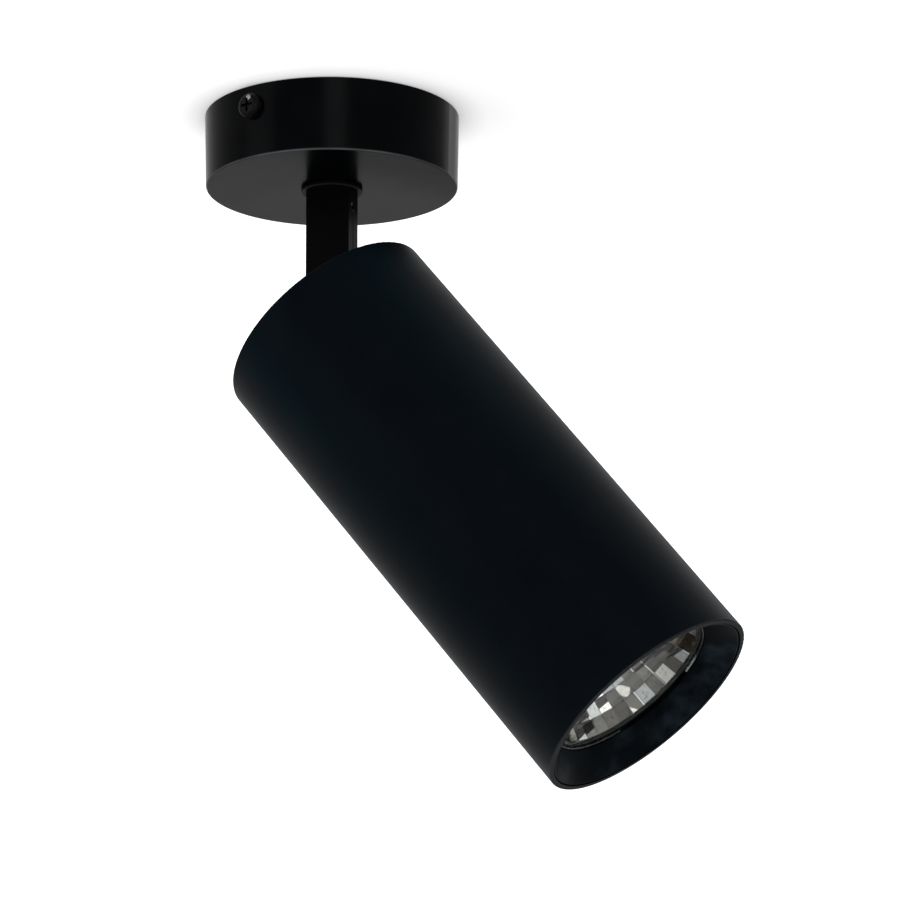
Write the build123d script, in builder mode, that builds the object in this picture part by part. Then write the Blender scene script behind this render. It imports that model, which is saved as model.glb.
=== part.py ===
from build123d import *
import os
from math import cos, radians, sin, sqrt

# Surface mounted ceiling spotlight. Millimetres, +Z up, origin at the centre of the canopy's
# face on the ceiling. The head tilts in the XZ plane, towards +X, about an axis along Y.
#
# Three bodies: the canopy group stays on the ceiling, the arm group turns about Z in the
# canopy's floor, and the head group tilts on the pivot at the arm's lower end.

# --- clearances ---------------------------------------------------------------------------
seat_gap = 0.05  # two still pieces, one inside the other
running_gap = 0.08  # a shaft in the hole that it turns in
face_gap = 0.1  # two faces that turn past each other

# --- canopy -------------------------------------------------------------------------------
canopy_top_diameter = 75.0
canopy_bottom_diameter = 74.0
canopy_height = 21.5
canopy_wall = 1.2
canopy_floor = 1.5
canopy_edge_radius = 0.5

# --- ceiling bracket and what hangs on it ----------------------------------------------------
bracket_azimuth = -103.5  # direction from the centre to the ear on the near side
bracket_thickness = 1.5
bracket_width = 14.0
bracket_disc_diameter = 30.0
bracket_bend_radius = 1.8
ear_depth = 11.0  # below the ceiling
ear_clearance = 0.4  # from the canopy's wall
fixing_circle_diameter = 44.0
fixing_hole_diameter = 4.5
cable_hole_diameter = 11.0
earth_screw_offset = 10.6
earth_washer_diameter = 7.0
earth_washer_thickness = 0.8

block_poles = 3
block_pitch = 8.0
block_depth = 15.0
block_base_height = 8.5
block_tower_diameter = 5.4
block_tower_height = 3.5
block_tower_spacing = 8.4
block_offset = 21.0  # from the swivel axis to the middle of the block
block_corner_radius = 1.0
clamp_diameter = 4.4
clamp_bore_diameter = 2.8
clamp_length = 12.0
clamp_screw_diameter = 2.6
clamp_screw_sink = 1.0  # of the screw's end inside its tower
clamp_screw_slot_depth = 0.6
block_screw_diameter = 2.4

# --- round-headed screws --------------------------------------------------------------------
canopy_screw_diameter = 4.0
canopy_screw_head_diameter = 7.4
canopy_screw_head_height = 2.4
canopy_screw_length = 7.0
canopy_screw_depth = 6.3  # below the ceiling
earth_screw_diameter = 4.0
earth_screw_head_diameter = 6.2
yoke_screw_diameter = 3.5
yoke_screw_head_diameter = 6.4
yoke_screw_head_height = 2.0
holder_screw_diameter = 3.0
holder_screw_head_diameter = 5.4
holder_screw_head_height = 1.8
recess_width = 0.8  # of a cross recess
recess_depth = 1.2
screw_overhang = 1.0  # of a screw's end beyond the last piece on it

# --- swivel -----------------------------------------------------------------------------------
collar_diameter = 18.0
collar_thickness = 1.2
stem_diameter = 9.9
stem_bore_diameter = 4.0
stem_flat_depth = 0.7
stem_end_chamfer = 0.5
spigot_length = 10.0
bush_flange_diameter = 24.0
bush_flange_thickness = 1.0
bush_wall = 1.0
bush_key_diameter = 2.0
bush_key_offset = 7.4
stop_width = 1.6  # of the bush's stop lug and of the stop washer's tab
stop_lug_height = 3.4
stop_lug_depth = 1.8
stop_lug_inset = 0.2  # from the bush flange's rim
disc_spring_diameter = 17.0
disc_spring_thickness = 0.6
disc_spring_rise = 0.5
stop_washer_diameter = 16.0
stop_washer_thickness = 1.2
stem_nut_width = 14.0
stem_nut_thickness = 4.0
stem_lock_nut_thickness = 3.0
stem_overhang = 1.0  # of the stem above its lock nut

# --- arm and tilt pivot -----------------------------------------------------------------------
arm_width = 13.7
arm_thickness = 7.6
arm_wall = 1.2
arm_edge_radius = 0.7
arm_seam_width = 0.4
arm_seam_depth = 0.15
grub_screw_diameter = 3.0
grub_screw_length = 4.0
grub_screw_socket_width = 1.5
grub_screw_drop = 5.0  # below the collar
pivot_drop = 43.2  # below the canopy's underside
pivot_screw_diameter = 3.9
pivot_screw_head_diameter = 7.4
pivot_screw_head_height = 2.4
pivot_sleeve_diameter = 6.0
pivot_washer_diameter = 10.0
pivot_washer_thickness = 0.5
pivot_spring_washer_thickness = 0.9
pivot_spring_washer_slot = 0.6
pivot_nut_width = 7.0
pivot_nut_thickness = 3.2

# --- head: shell --------------------------------------------------------------------------------
head_tilt = 39.3  # from straight down
head_diameter = 67.2
head_length = 152.3
head_wall = 1.5
head_edge_radius = 0.3
pivot_inset = 1.6  # of the pivot from the head's back end
head_step = 0.3  # by which the tube's middle is thicker than its ends
front_bore_depth = 26.0

yoke_thickness = 1.5
yoke_length = 36.0
yoke_ear_width = 10.0
yoke_screw_spacing = 26.0
yoke_arm_gap = 0.65
yoke_bend_radius = 1.2

cap_thickness = 2.0
cap_skirt_length = 8.0
cap_skirt_wall = 1.5
grommet_flange_diameter = 7.8
grommet_groove_diameter = 6.2
grommet_bore_diameter = 4.2
grommet_flange_thickness = 1.0

ring_gap = 0.35  # the dark line between the tube's rim and the front ring
ring_lip = 0.4
ring_recess = 0.3
ring_thread_depth = 3.5  # from the front to where the ring fills the tube's bore
ring_length = 18.7
ring_skirt_wall = 1.4
ring_pocket_wall = 2.0
ring_shoulder_thickness = 2.0
ring_groove_lip = 0.4  # between the lamp spring's groove and the cone
ring_web_setback = 0.5  # of the web's front from the lamp's

# --- head: lamp ----------------------------------------------------------------------------------
lamp_depth = 8.5  # from the head's front end to the lamp's glass
lamp_diameter = 50.0
lamp_body_length = 46.5
lamp_rim_length = 4.4
lamp_rim_wall = 0.4
lamp_glass_thickness = 1.0
lamp_mirror_inset = 0.9  # of the mirror's rim from the lamp's
lamp_mirror_depth = 30.4  # from the glass to the tip of the mirror's parabola
lamp_mirror_wall = 1.2
lamp_burner_hole_diameter = 13.0
lamp_facet_count = 36
lamp_facet_rings = 5
lamp_neck_diameter = 22.0
lamp_neck_depth = 29.0
lamp_neck_length = 2.4
lamp_base_wall = 1.5
lamp_base_end_diameter = 23.0
lamp_base_end_chamfer = 1.0
lamp_base_rim_length = 1.0  # of the base's widest part behind the reflector's neck
lamp_burner_diameter = 8.6
lamp_burner_length = 17.0
lamp_pin_spacing = 10.0
lamp_pin_diameter = 2.5
lamp_pin_head_diameter = 5.0
lamp_pin_length = 7.0
lamp_pin_head_length = 2.8

spring_wire_diameter = 1.0
spring_hold = 0.3  # by which the wire laps over the lamp's rim
spring_end_angle = 296.0
spring_arc = 300.0

# --- head: lamp holder ---------------------------------------------------------------------------
holder_diameter = 27.0
holder_height = 16.0
holder_chamfer = 0.8
holder_lip = 2.6
holder_pocket_depth = 8.4
holder_twist = 35.0  # from the pins' way in to where they lock
holder_screw_spacing = 19.0
holder_contact_thickness = 0.6
holder_bracket_thickness = 1.2
holder_bracket_width = 14.0
holder_bracket_span = 34.0
holder_bracket_foot = 11.0
holder_bracket_bend_radius = 2.0

# --- leads -------------------------------------------------------------------------------------------
lead_diameter = 1.6
lead_spacing = 1.7
lead_bend_radius = 4.0
supply_bend_radius = 2.0

# --- levels along Z -------------------------------------------------------------------------------
canopy_under = -canopy_height
canopy_floor_top = canopy_under + canopy_floor
collar_top = canopy_under - face_gap
collar_under = collar_top - collar_thickness
bush_flange_top = canopy_floor_top + bush_flange_thickness
disc_spring_under = bush_flange_top + seat_gap
stop_washer_under = disc_spring_under + disc_spring_thickness + disc_spring_rise
stem_nut_under = stop_washer_under + stop_washer_thickness
stem_lock_nut_under = stem_nut_under + stem_nut_thickness
stem_top = stem_lock_nut_under + stem_lock_nut_thickness + stem_overhang
grub_screw_level = collar_under - grub_screw_drop

# --- the head's own frame: distances run forwards from the pivot --------------------------------
pivot = Vector(0, 0, canopy_under - pivot_drop)
forward = Vector(sin(radians(head_tilt)), 0, -cos(radians(head_tilt)))
upward = Vector(cos(radians(head_tilt)), 0, sin(radians(head_tilt)))
sideward = Vector(0, -1, 0)
head_axis = Axis(pivot, forward)
head_section = Plane(origin=pivot, x_dir=upward, z_dir=-sideward)


def head_plane(distance):
    """The plane square to the head's axis, this far in front of the pivot."""
    return Plane(origin=pivot + forward * distance, x_dir=upward, z_dir=forward)


def head_point(up, side, distance):
    """A point in the head, from the pivot."""
    return pivot + upward * up + sideward * side + forward * distance


def side_plane(azimuth, radius, level):
    """The plane that faces outwards at this azimuth and distance from the Z axis."""
    outward = Vector(cos(radians(azimuth)), sin(radians(azimuth)), 0)
    across = Vector(-sin(radians(azimuth)), cos(radians(azimuth)), 0)
    return Plane(origin=outward * radius + Vector(0, 0, level), x_dir=across, z_dir=outward)


def canopy_radius(level):
    """The canopy's outer radius at this height: the wall leans in towards the floor."""
    lean = (canopy_top_diameter - canopy_bottom_diameter) / 2 / canopy_height
    return canopy_top_diameter / 2 + lean * level


def pan_head_screw(seat, head_diameter, head_height, diameter, length):
    """A cross-recessed screw with its head on the seat plane and its shank behind it."""
    with BuildPart() as screw:
        with BuildSketch(seat):
            Circle(head_diameter / 2)
        extrude(amount=head_height)
        top_edge = screw.faces().sort_by(Axis(seat.origin, seat.z_dir))[-1].edges()
        fillet(top_edge, head_height * 0.6)
        with BuildSketch(seat):
            Circle(diameter / 2)
        extrude(amount=-length)
        with BuildSketch(seat.offset(head_height)):
            Rectangle(head_diameter * 0.55, recess_width)
            Rectangle(recess_width, head_diameter * 0.55)
        extrude(amount=-recess_depth, mode=Mode.SUBTRACT)
    return screw.part


def hex_nut(seat, width, thickness, bore_diameter):
    """A nut on the seat plane: a disc with chamfered rims, cut to a hexagon."""
    corner_radius = width / sqrt(3)
    with BuildPart() as nut:
        with BuildSketch(seat):
            Circle(corner_radius)
        extrude(amount=thickness)
        chamfer(nut.edges().filter_by(GeomType.CIRCLE), (corner_radius - width / 2) * 0.6)
        with BuildSketch(seat):
            RegularPolygon(corner_radius, 6)
        extrude(amount=thickness, mode=Mode.INTERSECT)
        with BuildSketch(seat):
            Circle(bore_diameter / 2)
        extrude(amount=thickness, mode=Mode.SUBTRACT)
    return nut.part


def lead(points, bend_radius):
    """A round wire along straight runs joined by arcs."""
    with BuildPart() as wire:
        with BuildLine() as route:
            FilletPolyline(*points, radius=bend_radius)
        with BuildSketch(Plane(origin=route.line @ 0, z_dir=route.line % 0)):
            Circle(lead_diameter / 2)
        sweep(path=route.line)
    return wire.part


os.makedirs("parts", exist_ok=True)

# --- canopy -------------------------------------------------------------------------------------
swivel_hole_radius = stem_diameter / 2 + running_gap + bush_wall + seat_gap
canopy_screw_seat = max(
    canopy_radius(-canopy_screw_depth + canopy_screw_head_diameter / 2),
    canopy_radius(-canopy_screw_depth - canopy_screw_head_diameter / 2),
)
ear_corner_radius = min(canopy_radius(0), canopy_radius(-ear_depth)) - canopy_wall - ear_clearance
ear_face = sqrt(ear_corner_radius**2 - (bracket_width / 2) ** 2)

with BuildPart() as canopy:
    with BuildSketch(Plane.XZ):
        with BuildLine():
            Polyline(
                (0, canopy_under),
                (canopy_bottom_diameter / 2, canopy_under),
                (canopy_top_diameter / 2, 0),
                (canopy_top_diameter / 2 - canopy_wall, 0),
                (canopy_radius(canopy_floor_top) - canopy_wall, canopy_floor_top),
                (0, canopy_floor_top),
                close=True,
            )
        make_face()
    revolve(axis=Axis.Z)
    fillet(canopy.edges().filter_by(GeomType.CIRCLE).sort_by(Axis.Z)[0], canopy_edge_radius)
    with BuildSketch(Plane.XY.offset(canopy_under)):
        Circle(swivel_hole_radius)
        with Locations((bush_key_offset, 0)):
            Circle(bush_key_diameter / 2 + seat_gap)
    extrude(amount=canopy_floor, mode=Mode.SUBTRACT)
    for azimuth in (bracket_azimuth, bracket_azimuth + 180):
        with BuildSketch(side_plane(azimuth, canopy_screw_seat, -canopy_screw_depth)):
            Circle(canopy_screw_diameter / 2 + seat_gap * 4)
        extrude(amount=ear_face - canopy_screw_seat, mode=Mode.SUBTRACT)

canopy.part.label = "canopy"
export_step(canopy.part, "parts/canopy.step")

# --- ceiling bracket: a strip with two turned-down ears, and a lug for the terminal block ---------
bracket_along = Vector(cos(radians(bracket_azimuth)), sin(radians(bracket_azimuth)), 0)
bracket_across = Vector(-sin(radians(bracket_azimuth)), cos(radians(bracket_azimuth)), 0)
bracket_top = Plane(origin=(0, 0, 0), x_dir=bracket_along, z_dir=(0, 0, 1))
block_width = block_poles * block_pitch
block_under = -bracket_thickness - block_base_height
block_screw_position = (block_pitch / 2, block_offset)

with BuildPart() as ceiling_bracket:
    with BuildSketch(bracket_top):
        Rectangle(2 * ear_face, bracket_width)
        Circle(bracket_disc_diameter / 2)
        with Locations((0, (block_offset + block_depth / 2) / 2)):
            Rectangle(block_width, block_offset + block_depth / 2)
        Circle(cable_hole_diameter / 2, mode=Mode.SUBTRACT)
        with PolarLocations(fixing_circle_diameter / 2, 2):
            Circle(fixing_hole_diameter / 2, mode=Mode.SUBTRACT)
        with Locations((0, -earth_screw_offset)):
            Circle(earth_screw_diameter / 2, mode=Mode.SUBTRACT)
        with Locations(block_screw_position):
            Circle(block_screw_diameter / 2, mode=Mode.SUBTRACT)
    extrude(amount=-bracket_thickness)
    for azimuth in (bracket_azimuth, bracket_azimuth + 180):
        with BuildSketch(side_plane(azimuth, ear_face, -ear_depth / 2)):
            Rectangle(bracket_width, ear_depth)
        extrude(amount=-bracket_thickness)
        ear_side = side_plane(azimuth, ear_face, 0)
        bend = ceiling_bracket.edges().filter_by(Axis(ear_side.origin, ear_side.x_dir))
        fillet(bend.sort_by_distance(ear_side.origin)[0], bracket_bend_radius)
        with BuildSketch(side_plane(azimuth, ear_face, -canopy_screw_depth)):
            Circle(canopy_screw_diameter / 2)
        extrude(amount=-bracket_thickness, mode=Mode.SUBTRACT)

ceiling_bracket.part.label = "ceiling_bracket"
export_step(ceiling_bracket.part, "parts/ceiling_bracket.step")

# --- the two screws that hold the canopy to the bracket's ears ---------------------------------
with BuildPart() as canopy_screws:
    for azimuth in (bracket_azimuth, bracket_azimuth + 180):
        add(
            pan_head_screw(
                side_plane(azimuth, canopy_screw_seat, -canopy_screw_depth),
                canopy_screw_head_diameter,
                canopy_screw_head_height,
                canopy_screw_diameter - 2 * seat_gap,
                canopy_screw_length,
            )
        )

canopy_screws.part.label = "canopy_screws"
export_step(canopy_screws.part, "parts/canopy_screws.step")

# --- earth screw and its washer under the bracket ------------------------------------------------
earth_seat = Plane(
    origin=-bracket_across * earth_screw_offset
    - Vector(0, 0, bracket_thickness + earth_washer_thickness),
    x_dir=bracket_along,
    z_dir=(0, 0, -1),
)
with BuildPart() as earth_screw:
    add(
        pan_head_screw(
            earth_seat,
            earth_screw_head_diameter,
            canopy_screw_head_height,
            earth_screw_diameter - 2 * seat_gap,
            earth_washer_thickness + bracket_thickness - face_gap,
        )
    )

earth_screw.part.label = "earth_screw"
export_step(earth_screw.part, "parts/earth_screw.step")

with BuildPart() as earth_washer:
    with BuildSketch(earth_seat):
        Circle(earth_washer_diameter / 2)
        Circle(earth_screw_diameter / 2, mode=Mode.SUBTRACT)
    extrude(amount=-earth_washer_thickness)

earth_washer.part.label = "earth_washer"
export_step(earth_washer.part, "parts/earth_washer.step")

# --- terminal block: a base with a tower over each clamp screw ----------------------------------
clamp_level = -bracket_thickness - block_base_height / 2
pole_offsets = [(pole - (block_poles - 1) / 2) * block_pitch for pole in range(block_poles)]
block_middle = Plane(
    origin=bracket_across * block_offset - Vector(0, 0, bracket_thickness),
    x_dir=bracket_along,
    z_dir=(0, 0, 1),
)
clamp_plane = Plane(
    origin=bracket_across * block_offset + Vector(0, 0, clamp_level),
    x_dir=bracket_along,
    z_dir=bracket_across,
)

with BuildPart() as terminal_block:
    with BuildSketch(block_middle):
        Rectangle(block_width, block_depth)
    extrude(amount=-block_base_height)
    fillet(terminal_block.edges().filter_by(Axis.Z), block_corner_radius)
    with BuildSketch(block_middle.offset(-block_base_height)):
        for offset in pole_offsets:
            with Locations((offset, 0)):
                with GridLocations(0, block_tower_spacing, 1, 2):
                    Circle(block_tower_diameter / 2)
    extrude(amount=-block_tower_height)
    with BuildSketch(block_middle):
        for offset in pole_offsets:
            with Locations((offset, 0)):
                with GridLocations(0, block_tower_spacing, 1, 2):
                    Circle(clamp_screw_diameter / 2 + seat_gap)
        with Locations((block_pitch / 2, 0)):
            Circle(block_screw_diameter / 2 + seat_gap)
    extrude(amount=-(block_base_height + block_tower_height), mode=Mode.SUBTRACT)
    with BuildSketch(clamp_plane):
        for offset in pole_offsets:
            with Locations((offset, 0)):
                Circle(clamp_diameter / 2 + seat_gap)
    extrude(amount=block_depth, both=True, mode=Mode.SUBTRACT)

terminal_block.part.label = "terminal_block"
export_step(terminal_block.part, "parts/terminal_block.step")

with BuildPart() as terminal_clamps:
    with BuildSketch(clamp_plane):
        for offset in pole_offsets:
            with Locations((offset, 0)):
                Circle(clamp_diameter / 2)
                Circle(clamp_bore_diameter / 2, mode=Mode.SUBTRACT)
    extrude(amount=clamp_length / 2, both=True)
    with BuildSketch(block_middle.offset(-block_base_height)):
        for offset in pole_offsets:
            with Locations((offset, 0)):
                with GridLocations(0, block_tower_spacing, 1, 2):
                    Circle(clamp_screw_diameter / 2 + seat_gap)
    extrude(amount=block_base_height / 2, mode=Mode.SUBTRACT)

terminal_clamps.part.label = "terminal_clamps"
export_step(terminal_clamps.part, "parts/terminal_clamps.step")

clamp_screw_end = -block_base_height - block_tower_height + clamp_screw_sink
clamp_screw_length = -clamp_screw_end - block_base_height / 2 - clamp_bore_diameter / 2
with BuildPart() as terminal_screws:
    with BuildSketch(block_middle.offset(clamp_screw_end)):
        for offset in pole_offsets:
            with Locations((offset, 0)):
                with GridLocations(0, block_tower_spacing, 1, 2):
                    Circle(clamp_screw_diameter / 2)
    extrude(amount=clamp_screw_length)
    with BuildSketch(block_middle.offset(clamp_screw_end)):
        for offset in pole_offsets:
            with Locations((offset, 0)):
                with GridLocations(0, block_tower_spacing, 1, 2):
                    Rectangle(clamp_screw_diameter, clamp_screw_diameter / 5)
    extrude(amount=clamp_screw_slot_depth, mode=Mode.SUBTRACT)

terminal_screws.part.label = "terminal_screws"
export_step(terminal_screws.part, "parts/terminal_screws.step")

with BuildPart() as block_screw:
    block_screw_seat = Plane(
        origin=bracket_along * block_pitch / 2
        + bracket_across * block_offset
        + Vector(0, 0, block_under),
        x_dir=bracket_along,
        z_dir=(0, 0, -1),
    )
    add(
        pan_head_screw(
            block_screw_seat,
            block_pitch / 2 - seat_gap,
            recess_depth + recess_width / 2,
            block_screw_diameter - 2 * seat_gap,
            block_base_height + bracket_thickness - face_gap,
        )
    )

block_screw.part.label = "block_screw"
export_step(block_screw.part, "parts/block_screw.step")

# --- swivel bush: keyed in the canopy's floor, with a stop lug ------------------------------------
bush_inner_radius = stem_diameter / 2 + running_gap
stop_lug_outer_radius = bush_flange_diameter / 2 - stop_lug_inset
stop_lug_inner_radius = stop_lug_outer_radius - stop_lug_depth

with BuildPart() as swivel_bush:
    with BuildSketch(Plane.XY.offset(canopy_floor_top)):
        Circle(bush_flange_diameter / 2)
    extrude(amount=bush_flange_thickness)
    with BuildSketch(Plane.XY.offset(canopy_floor_top)):
        Circle(bush_inner_radius + bush_wall)
        with Locations((bush_key_offset, 0)):
            Circle(bush_key_diameter / 2)
    extrude(amount=-(canopy_floor - face_gap))
    with BuildSketch(Plane.XY.offset(bush_flange_top)):
        with Locations((-(stop_lug_inner_radius + stop_lug_outer_radius) / 2, 0)):
            Rectangle(stop_lug_depth, stop_width)
    extrude(amount=stop_lug_height)
    with BuildSketch(Plane.XY.offset(bush_flange_top)):
        Circle(bush_inner_radius)
    extrude(amount=-(bush_flange_thickness + canopy_floor), mode=Mode.SUBTRACT)

swivel_bush.part.label = "swivel_bush"
export_step(swivel_bush.part, "parts/swivel_bush.step")

# --- swivel stem: collar, threaded hollow stud with a flat, and the spigot inside the arm --------
arm_bore_width = arm_width - 2 * arm_wall
arm_bore_thickness = arm_thickness - 2 * arm_wall

with BuildPart() as swivel_stem:
    with BuildSketch(Plane.XY.offset(collar_under)):
        Circle(collar_diameter / 2)
    extrude(amount=collar_thickness)
    fillet(swivel_stem.edges().sort_by(Axis.Z)[0], collar_thickness / 4)
    with BuildSketch(Plane.XY.offset(collar_top)):
        Circle(stem_diameter / 2)
    extrude(amount=stem_top - collar_top)
    chamfer(swivel_stem.edges().sort_by(Axis.Z)[-1], stem_end_chamfer)
    with BuildSketch(Plane.XY.offset(bush_flange_top)):
        with Locations((stem_diameter / 2, 0)):
            Rectangle(2 * stem_flat_depth, stem_diameter)
    extrude(amount=stem_top - bush_flange_top, mode=Mode.SUBTRACT)
    with BuildSketch(Plane.XY.offset(collar_under)):
        Rectangle(arm_bore_width - 2 * seat_gap, arm_bore_thickness - 2 * seat_gap)
    extrude(amount=-spigot_length)
    with BuildSketch(Plane.XY.offset(stem_top)):
        Circle(stem_bore_diameter / 2)
    extrude(amount=-(stem_top - collar_under + spigot_length), mode=Mode.SUBTRACT)
    with BuildSketch(side_plane(0, arm_width / 2, grub_screw_level)):
        Circle(grub_screw_diameter / 2 + seat_gap)
    extrude(amount=-(grub_screw_length + face_gap), mode=Mode.SUBTRACT)

swivel_stem.part.label = "swivel_stem"
export_step(swivel_stem.part, "parts/swivel_stem.step")

# --- what clamps the stem: disc spring, stop washer, nut and lock nut ------------------------------
with BuildPart() as disc_spring:
    with BuildSketch(Plane.XZ):
        with BuildLine():
            Polyline(
                (stem_diameter / 2 + seat_gap, disc_spring_under + disc_spring_rise),
                (disc_spring_diameter / 2, disc_spring_under),
                (disc_spring_diameter / 2, disc_spring_under + disc_spring_thickness),
                (stem_diameter / 2 + seat_gap, stop_washer_under),
                close=True,
            )
        make_face()
    revolve(axis=Axis.Z)

disc_spring.part.label = "disc_spring"
export_step(disc_spring.part, "parts/disc_spring.step")

stop_tab_radius = stop_lug_outer_radius - 2 * face_gap
with BuildPart() as stop_washer:
    with BuildSketch(Plane.XY.offset(stop_washer_under)):
        Circle(stop_washer_diameter / 2)
        with Locations((stop_tab_radius / 2, 0)):
            Rectangle(stop_tab_radius, stop_width)
        with BuildSketch(mode=Mode.SUBTRACT):
            Circle(stem_diameter / 2 + seat_gap)
            with Locations((stem_diameter / 2 + seat_gap, 0)):
                Rectangle(2 * stem_flat_depth, stem_diameter, mode=Mode.SUBTRACT)
    extrude(amount=stop_washer_thickness)

stop_washer.part.label = "stop_washer"
export_step(stop_washer.part, "parts/stop_washer.step")

with BuildPart() as stem_nut:
    add(
        hex_nut(
            Plane.XY.offset(stem_nut_under),
            stem_nut_width,
            stem_nut_thickness,
            stem_diameter + 2 * seat_gap,
        )
    )

stem_nut.part.label = "stem_nut"
export_step(stem_nut.part, "parts/stem_nut.step")

with BuildPart() as stem_lock_nut:
    add(
        hex_nut(
            Plane.XY.offset(stem_lock_nut_under),
            stem_nut_width,
            stem_lock_nut_thickness,
            stem_diameter + 2 * seat_gap,
        )
    )

stem_lock_nut.part.label = "stem_lock_nut"
export_step(stem_lock_nut.part, "parts/stem_lock_nut.step")

# --- arm: a rectangular tube with a rounded lower end ----------------------------------------------
with BuildPart() as arm:
    with BuildSketch(Plane.XZ):
        with Locations((0, (collar_under + pivot.Z) / 2)):
            Rectangle(arm_width, collar_under - pivot.Z)
        with Locations((0, pivot.Z)):
            Circle(arm_width / 2)
    extrude(amount=arm_thickness / 2, both=True)
    fillet(arm.edges().filter_by(Axis.Z), arm_edge_radius)
    with BuildSketch(Plane.XY.offset(collar_under)):
        RectangleRounded(arm_bore_width, arm_bore_thickness, arm_edge_radius / 4)
    extrude(amount=-(collar_under - pivot.Z + arm_width), mode=Mode.SUBTRACT)
    with BuildSketch(Plane.XZ):
        with Locations((0, pivot.Z)):
            Circle(pivot_screw_diameter / 2 + running_gap)
    extrude(amount=arm_thickness, both=True, mode=Mode.SUBTRACT)
    with BuildSketch(side_plane(0, arm_width / 2, grub_screw_level)):
        Circle(grub_screw_diameter / 2 + seat_gap)
    extrude(amount=-2 * arm_wall, mode=Mode.SUBTRACT)
    with BuildSketch(side_plane(0, arm_width / 2, (grub_screw_level + pivot.Z) / 2)):
        Rectangle(arm_seam_width, grub_screw_level - pivot.Z - 2 * grub_screw_diameter)
    extrude(amount=-arm_seam_depth, mode=Mode.SUBTRACT)

arm.part.label = "arm"
export_step(arm.part, "parts/arm.step")

with BuildPart() as arm_grub_screw:
    with BuildSketch(side_plane(0, arm_width / 2 - face_gap, grub_screw_level)):
        Circle(grub_screw_diameter / 2)
    extrude(amount=-grub_screw_length + face_gap)
    with BuildSketch(side_plane(0, arm_width / 2 - face_gap, grub_screw_level)):
        RegularPolygon(grub_screw_socket_width / 2, 6, major_radius=False)
    extrude(amount=-grub_screw_length / 2, mode=Mode.SUBTRACT)

arm_grub_screw.part.label = "arm_grub_screw"
export_step(arm_grub_screw.part, "parts/arm_grub_screw.step")

with BuildPart() as pivot_sleeve:
    with BuildSketch(Plane.XZ):
        with Locations((0, pivot.Z)):
            Circle(pivot_sleeve_diameter / 2)
            Circle(pivot_screw_diameter / 2 + running_gap, mode=Mode.SUBTRACT)
    extrude(amount=arm_bore_thickness / 2 - seat_gap, both=True)

pivot_sleeve.part.label = "pivot_sleeve"
export_step(pivot_sleeve.part, "parts/pivot_sleeve.step")

# --- tilt yoke: a plate on the rear cap with two ears folded up beside the arm ----------------------
yoke_top = arm_width / 2 + yoke_arm_gap
cap_back = yoke_top + yoke_thickness
washer_face = arm_thickness / 2 + seat_gap
ear_inner = washer_face + pivot_washer_thickness
ear_outer = ear_inner + yoke_thickness

with BuildPart() as tilt_yoke:
    with BuildSketch(head_plane(yoke_top)):
        Rectangle(yoke_length, 2 * ear_outer)
    extrude(amount=yoke_thickness)
    corners = tilt_yoke.edges().filter_by(head_axis)
    fillet(corners, yoke_thickness * 1.5)
    for side in (1, -1):
        with BuildSketch(head_section.offset(side * (ear_inner + ear_outer) / 2)):
            with Locations((0, cap_back / 2)):
                Rectangle(yoke_ear_width, cap_back)
            Circle(yoke_ear_width / 2)
        extrude(amount=yoke_thickness / 2, both=True)
    with BuildSketch(head_section):
        Circle(pivot_screw_diameter / 2 + seat_gap)
    extrude(amount=ear_outer, both=True, mode=Mode.SUBTRACT)
    with BuildSketch(head_plane(yoke_top)):
        Circle(grommet_flange_diameter / 2 + 6 * seat_gap)
        with GridLocations(yoke_screw_spacing, 0, 2, 1):
            Circle(yoke_screw_diameter / 2 + seat_gap)
    extrude(amount=yoke_thickness, mode=Mode.SUBTRACT)

tilt_yoke.part.label = "tilt_yoke"
export_step(tilt_yoke.part, "parts/tilt_yoke.step")

# --- tilt pivot: screw, friction washers, spring washer and nut --------------------------------------
near_side = Plane(origin=pivot + sideward * ear_outer, x_dir=upward, z_dir=sideward)
far_side = Plane(origin=pivot - sideward * ear_outer, x_dir=upward, z_dir=-sideward)
pivot_screw_length = (
    2 * ear_outer + pivot_spring_washer_thickness + pivot_nut_thickness + screw_overhang
)

with BuildPart() as pivot_screw:
    add(
        pan_head_screw(
            near_side,
            pivot_screw_head_diameter,
            pivot_screw_head_height,
            pivot_screw_diameter,
            pivot_screw_length,
        )
    )

pivot_screw.part.label = "pivot_screw"
export_step(pivot_screw.part, "parts/pivot_screw.step")

with BuildPart() as friction_washers:
    for side in (1, -1):
        with BuildSketch(head_section.offset(side * (washer_face + ear_inner) / 2)):
            Circle(pivot_washer_diameter / 2)
            Circle(pivot_screw_diameter / 2 + seat_gap, mode=Mode.SUBTRACT)
        extrude(amount=pivot_washer_thickness / 2, both=True)

friction_washers.part.label = "friction_washers"
export_step(friction_washers.part, "parts/friction_washers.step")

with BuildPart() as pivot_spring_washer:
    with BuildSketch(far_side):
        Circle(pivot_nut_width / 2)
        Circle(pivot_screw_diameter / 2 + seat_gap, mode=Mode.SUBTRACT)
        with Locations((pivot_nut_width / 2, 0)):
            Rectangle(pivot_nut_width, pivot_spring_washer_slot, mode=Mode.SUBTRACT)
    extrude(amount=pivot_spring_washer_thickness)

pivot_spring_washer.part.label = "pivot_spring_washer"
export_step(pivot_spring_washer.part, "parts/pivot_spring_washer.step")

with BuildPart() as pivot_nut:
    add(
        hex_nut(
            far_side.offset(pivot_spring_washer_thickness),
            pivot_nut_width,
            pivot_nut_thickness,
            pivot_screw_diameter + 2 * seat_gap,
        )
    )

pivot_nut.part.label = "pivot_nut"
export_step(pivot_nut.part, "parts/pivot_nut.step")

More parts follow.
